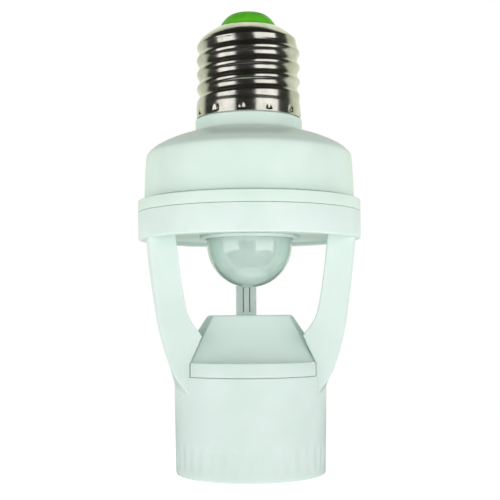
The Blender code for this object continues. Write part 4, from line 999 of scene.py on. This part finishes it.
studio = {
    "boxes": (("leftSoftBox", -54.0, 0.47), ("rightSoftBox", 38.0, 0.57)), "boxHeight": 0.56,
    "boxLevel": 1.04,
    "reach": 0.6, "aimZ": 0.055, "white": (1.0, 1.0, 1.0, 1.0),
    "cove": ((0.0, 1.18), (0.45, 1.18), (0.62, 0.64), (0.87, 0.24), (1.0, 0.24)),
    "ahead": (0.012, 0.012, 0.012, 1.0), "behind": (0.86, 0.93, 0.76, 1.0), "overhead": 0.48,
    "roomTurn": 0.14,
    "walls": ((0.30, 0.02), (0.54, 0.03), (0.60, 0.56), (0.75, 0.72)), "wallTint": (0.96, 1.04, 0.85),
    "floorSize": 0.34, "floorZ": -0.0002, "sheet": (0.60, 0.64), "glow": 0.8, "mirroredSheet": 0.05,
}


def makeLights():
    s = SimpleNamespace(**studio)
    for name, azimuth, width in s.boxes:
        lamp = bpy.data.lights.new(name, "AREA")
        lamp.shape, lamp.size, lamp.size_y = "RECTANGLE", width, s.boxHeight
        lamp.energy = s.boxLevel * math.pi * width * s.boxHeight  # a face of this level, where 1 is white
        made = addPiece(name, lamp)
        angle = math.radians(azimuth)
        away = Vector((math.sin(angle), -math.cos(angle), 0.0))
        made.location = Vector((0.0, 0.0, s.aimZ)) + away * s.reach
        made.rotation_mode = "QUATERNION"
        made.rotation_quaternion = away.to_track_quat("Z", "Y")


def makeWorld():
    # white to the camera, a room bright low down to matt faces, and a room dark in front to glossy ones
    s = SimpleNamespace(**studio)
    world = bpy.data.worlds.new("studioRoom")
    bpy.context.scene.world = world
    world.use_nodes = True
    world.node_tree.nodes.clear()
    add = partial(addNode, world.node_tree)
    ray = add("ShaderNodeLightPath").outputs
    heading = add("ShaderNodeTexCoord").outputs["Generated"]
    parts = add("ShaderNodeSeparateXYZ", {"Vector": heading}).outputs

    # the glossy room goes by the angle from the front, and what is overhead counts partly as in front
    raised = add(maths, (parts["Z"], 0.0), operation="MAXIMUM")
    overhead = add(maths, (raised, s.overhead), operation="MULTIPLY")
    front = add(maths, (overhead, parts["Y"]), operation="SUBTRACT")
    angle = add(maths, (parts["X"], front), operation="ARCTAN2")
    turned = add(maths, (angle, s.roomTurn), operation="ADD")
    away = add(maths, (turned,), operation="ABSOLUTE")
    share = add(maths, (away, math.pi), operation="DIVIDE")
    room = add("ShaderNodeValToRGB", {"Fac": share})
    stops = room.color_ramp.elements
    stops[0].position, stops[0].color = 0.0, s.ahead
    stops[1].position, stops[1].color = 1.0, s.behind
    for position, level in s.walls:
        stops.new(position).color = (*[level * tint for tint in s.wallTint], 1.0)
    mirrored = add("ShaderNodeBackground", {"Color": room, "Strength": 1.0})

    # the matt room goes by the height; a curve holds 0 to 1, so its levels are halved and then doubled
    height = add("ShaderNodeMapRange", {"Value": parts["Z"], "From Min": -1.0, "From Max": 1.0})
    cove = add("ShaderNodeFloatCurve", {"Value": height})
    points = cove.mapping.curves[0].points
    levels = [(position, level / 2) for position, level in s.cove]
    points[0].location, points[1].location = levels[0], levels[-1]
    for position, level in levels[1:-1]:
        points.new(position, level)
    for point in points:
        point.handle_type = "VECTOR"
    cove.mapping.update()
    doubled = add(maths, (cove, 2.0), operation="MULTIPLY")
    soft = add("ShaderNodeBackground", {"Color": s.white, "Strength": doubled})
    white = add("ShaderNodeBackground", {"Color": s.white, "Strength": 1.0})
    gloss = add("ShaderNodeMixShader", (ray["Is Glossy Ray"], soft, mirrored))
    clear = add("ShaderNodeMixShader", (ray["Is Transmission Ray"], gloss, white))
    seen = add("ShaderNodeMixShader", (ray["Is Camera Ray"], clear, white))
    add("ShaderNodeOutputWorld", {"Surface": seen})


def makeFloor():
    # a white sheet: its own glow brings it up to the background, and the rest is lit, so it keeps the shadow
    s = SimpleNamespace(**studio)
    half, z = s.floorSize / 2, s.floorZ
    corners = [(-half, -half, z), (half, -half, z), (half, half, z), (-half, half, z)]
    floor = addPiece("floor", meshOf("floor", corners, [(0, 1, 2, 3)]))
    made, add, place = startFinish("whitePaperSheet")
    ray = add("ShaderNodeLightPath").outputs
    fibre = add("ShaderNodeTexNoise", {"Vector": place, "Scale": 1 / (2 * mm), "Detail": 2.0})
    shade = add("ShaderNodeMapRange", {"Value": fibre, "To Min": s.sheet[0], "To Max": s.sheet[1]})
    sheet = add("ShaderNodeBsdfDiffuse", {"Color": shade})
    glow = add("ShaderNodeEmission", {"Color": s.white, "Strength": s.glow})
    both = add("ShaderNodeAddShader", (sheet, glow))

    # only glossy rays meet a dark sheet, so that the metal isn't lit from below
    dark = add("ShaderNodeBsdfDiffuse", {"Color": (*[s.mirroredSheet] * 3, 1.0)})
    clear = add(maths, (ray["Is Glossy Ray"], ray["Is Transmission Ray"]),
                operation="SUBTRACT", use_clamp=True)
    mirrored = add(maths, (clear, ray["Is Camera Ray"]), operation="SUBTRACT", use_clamp=True)
    seen = add("ShaderNodeMixShader", (mirrored, both, dark))
    add("ShaderNodeOutputMaterial", {"Surface": seen})
    floor.data.materials.append(made)


makeCamera()
makeLights()
makeWorld()
makeFloor()
bpy.context.scene.view_settings.view_transform = "Standard"
print("studio made")
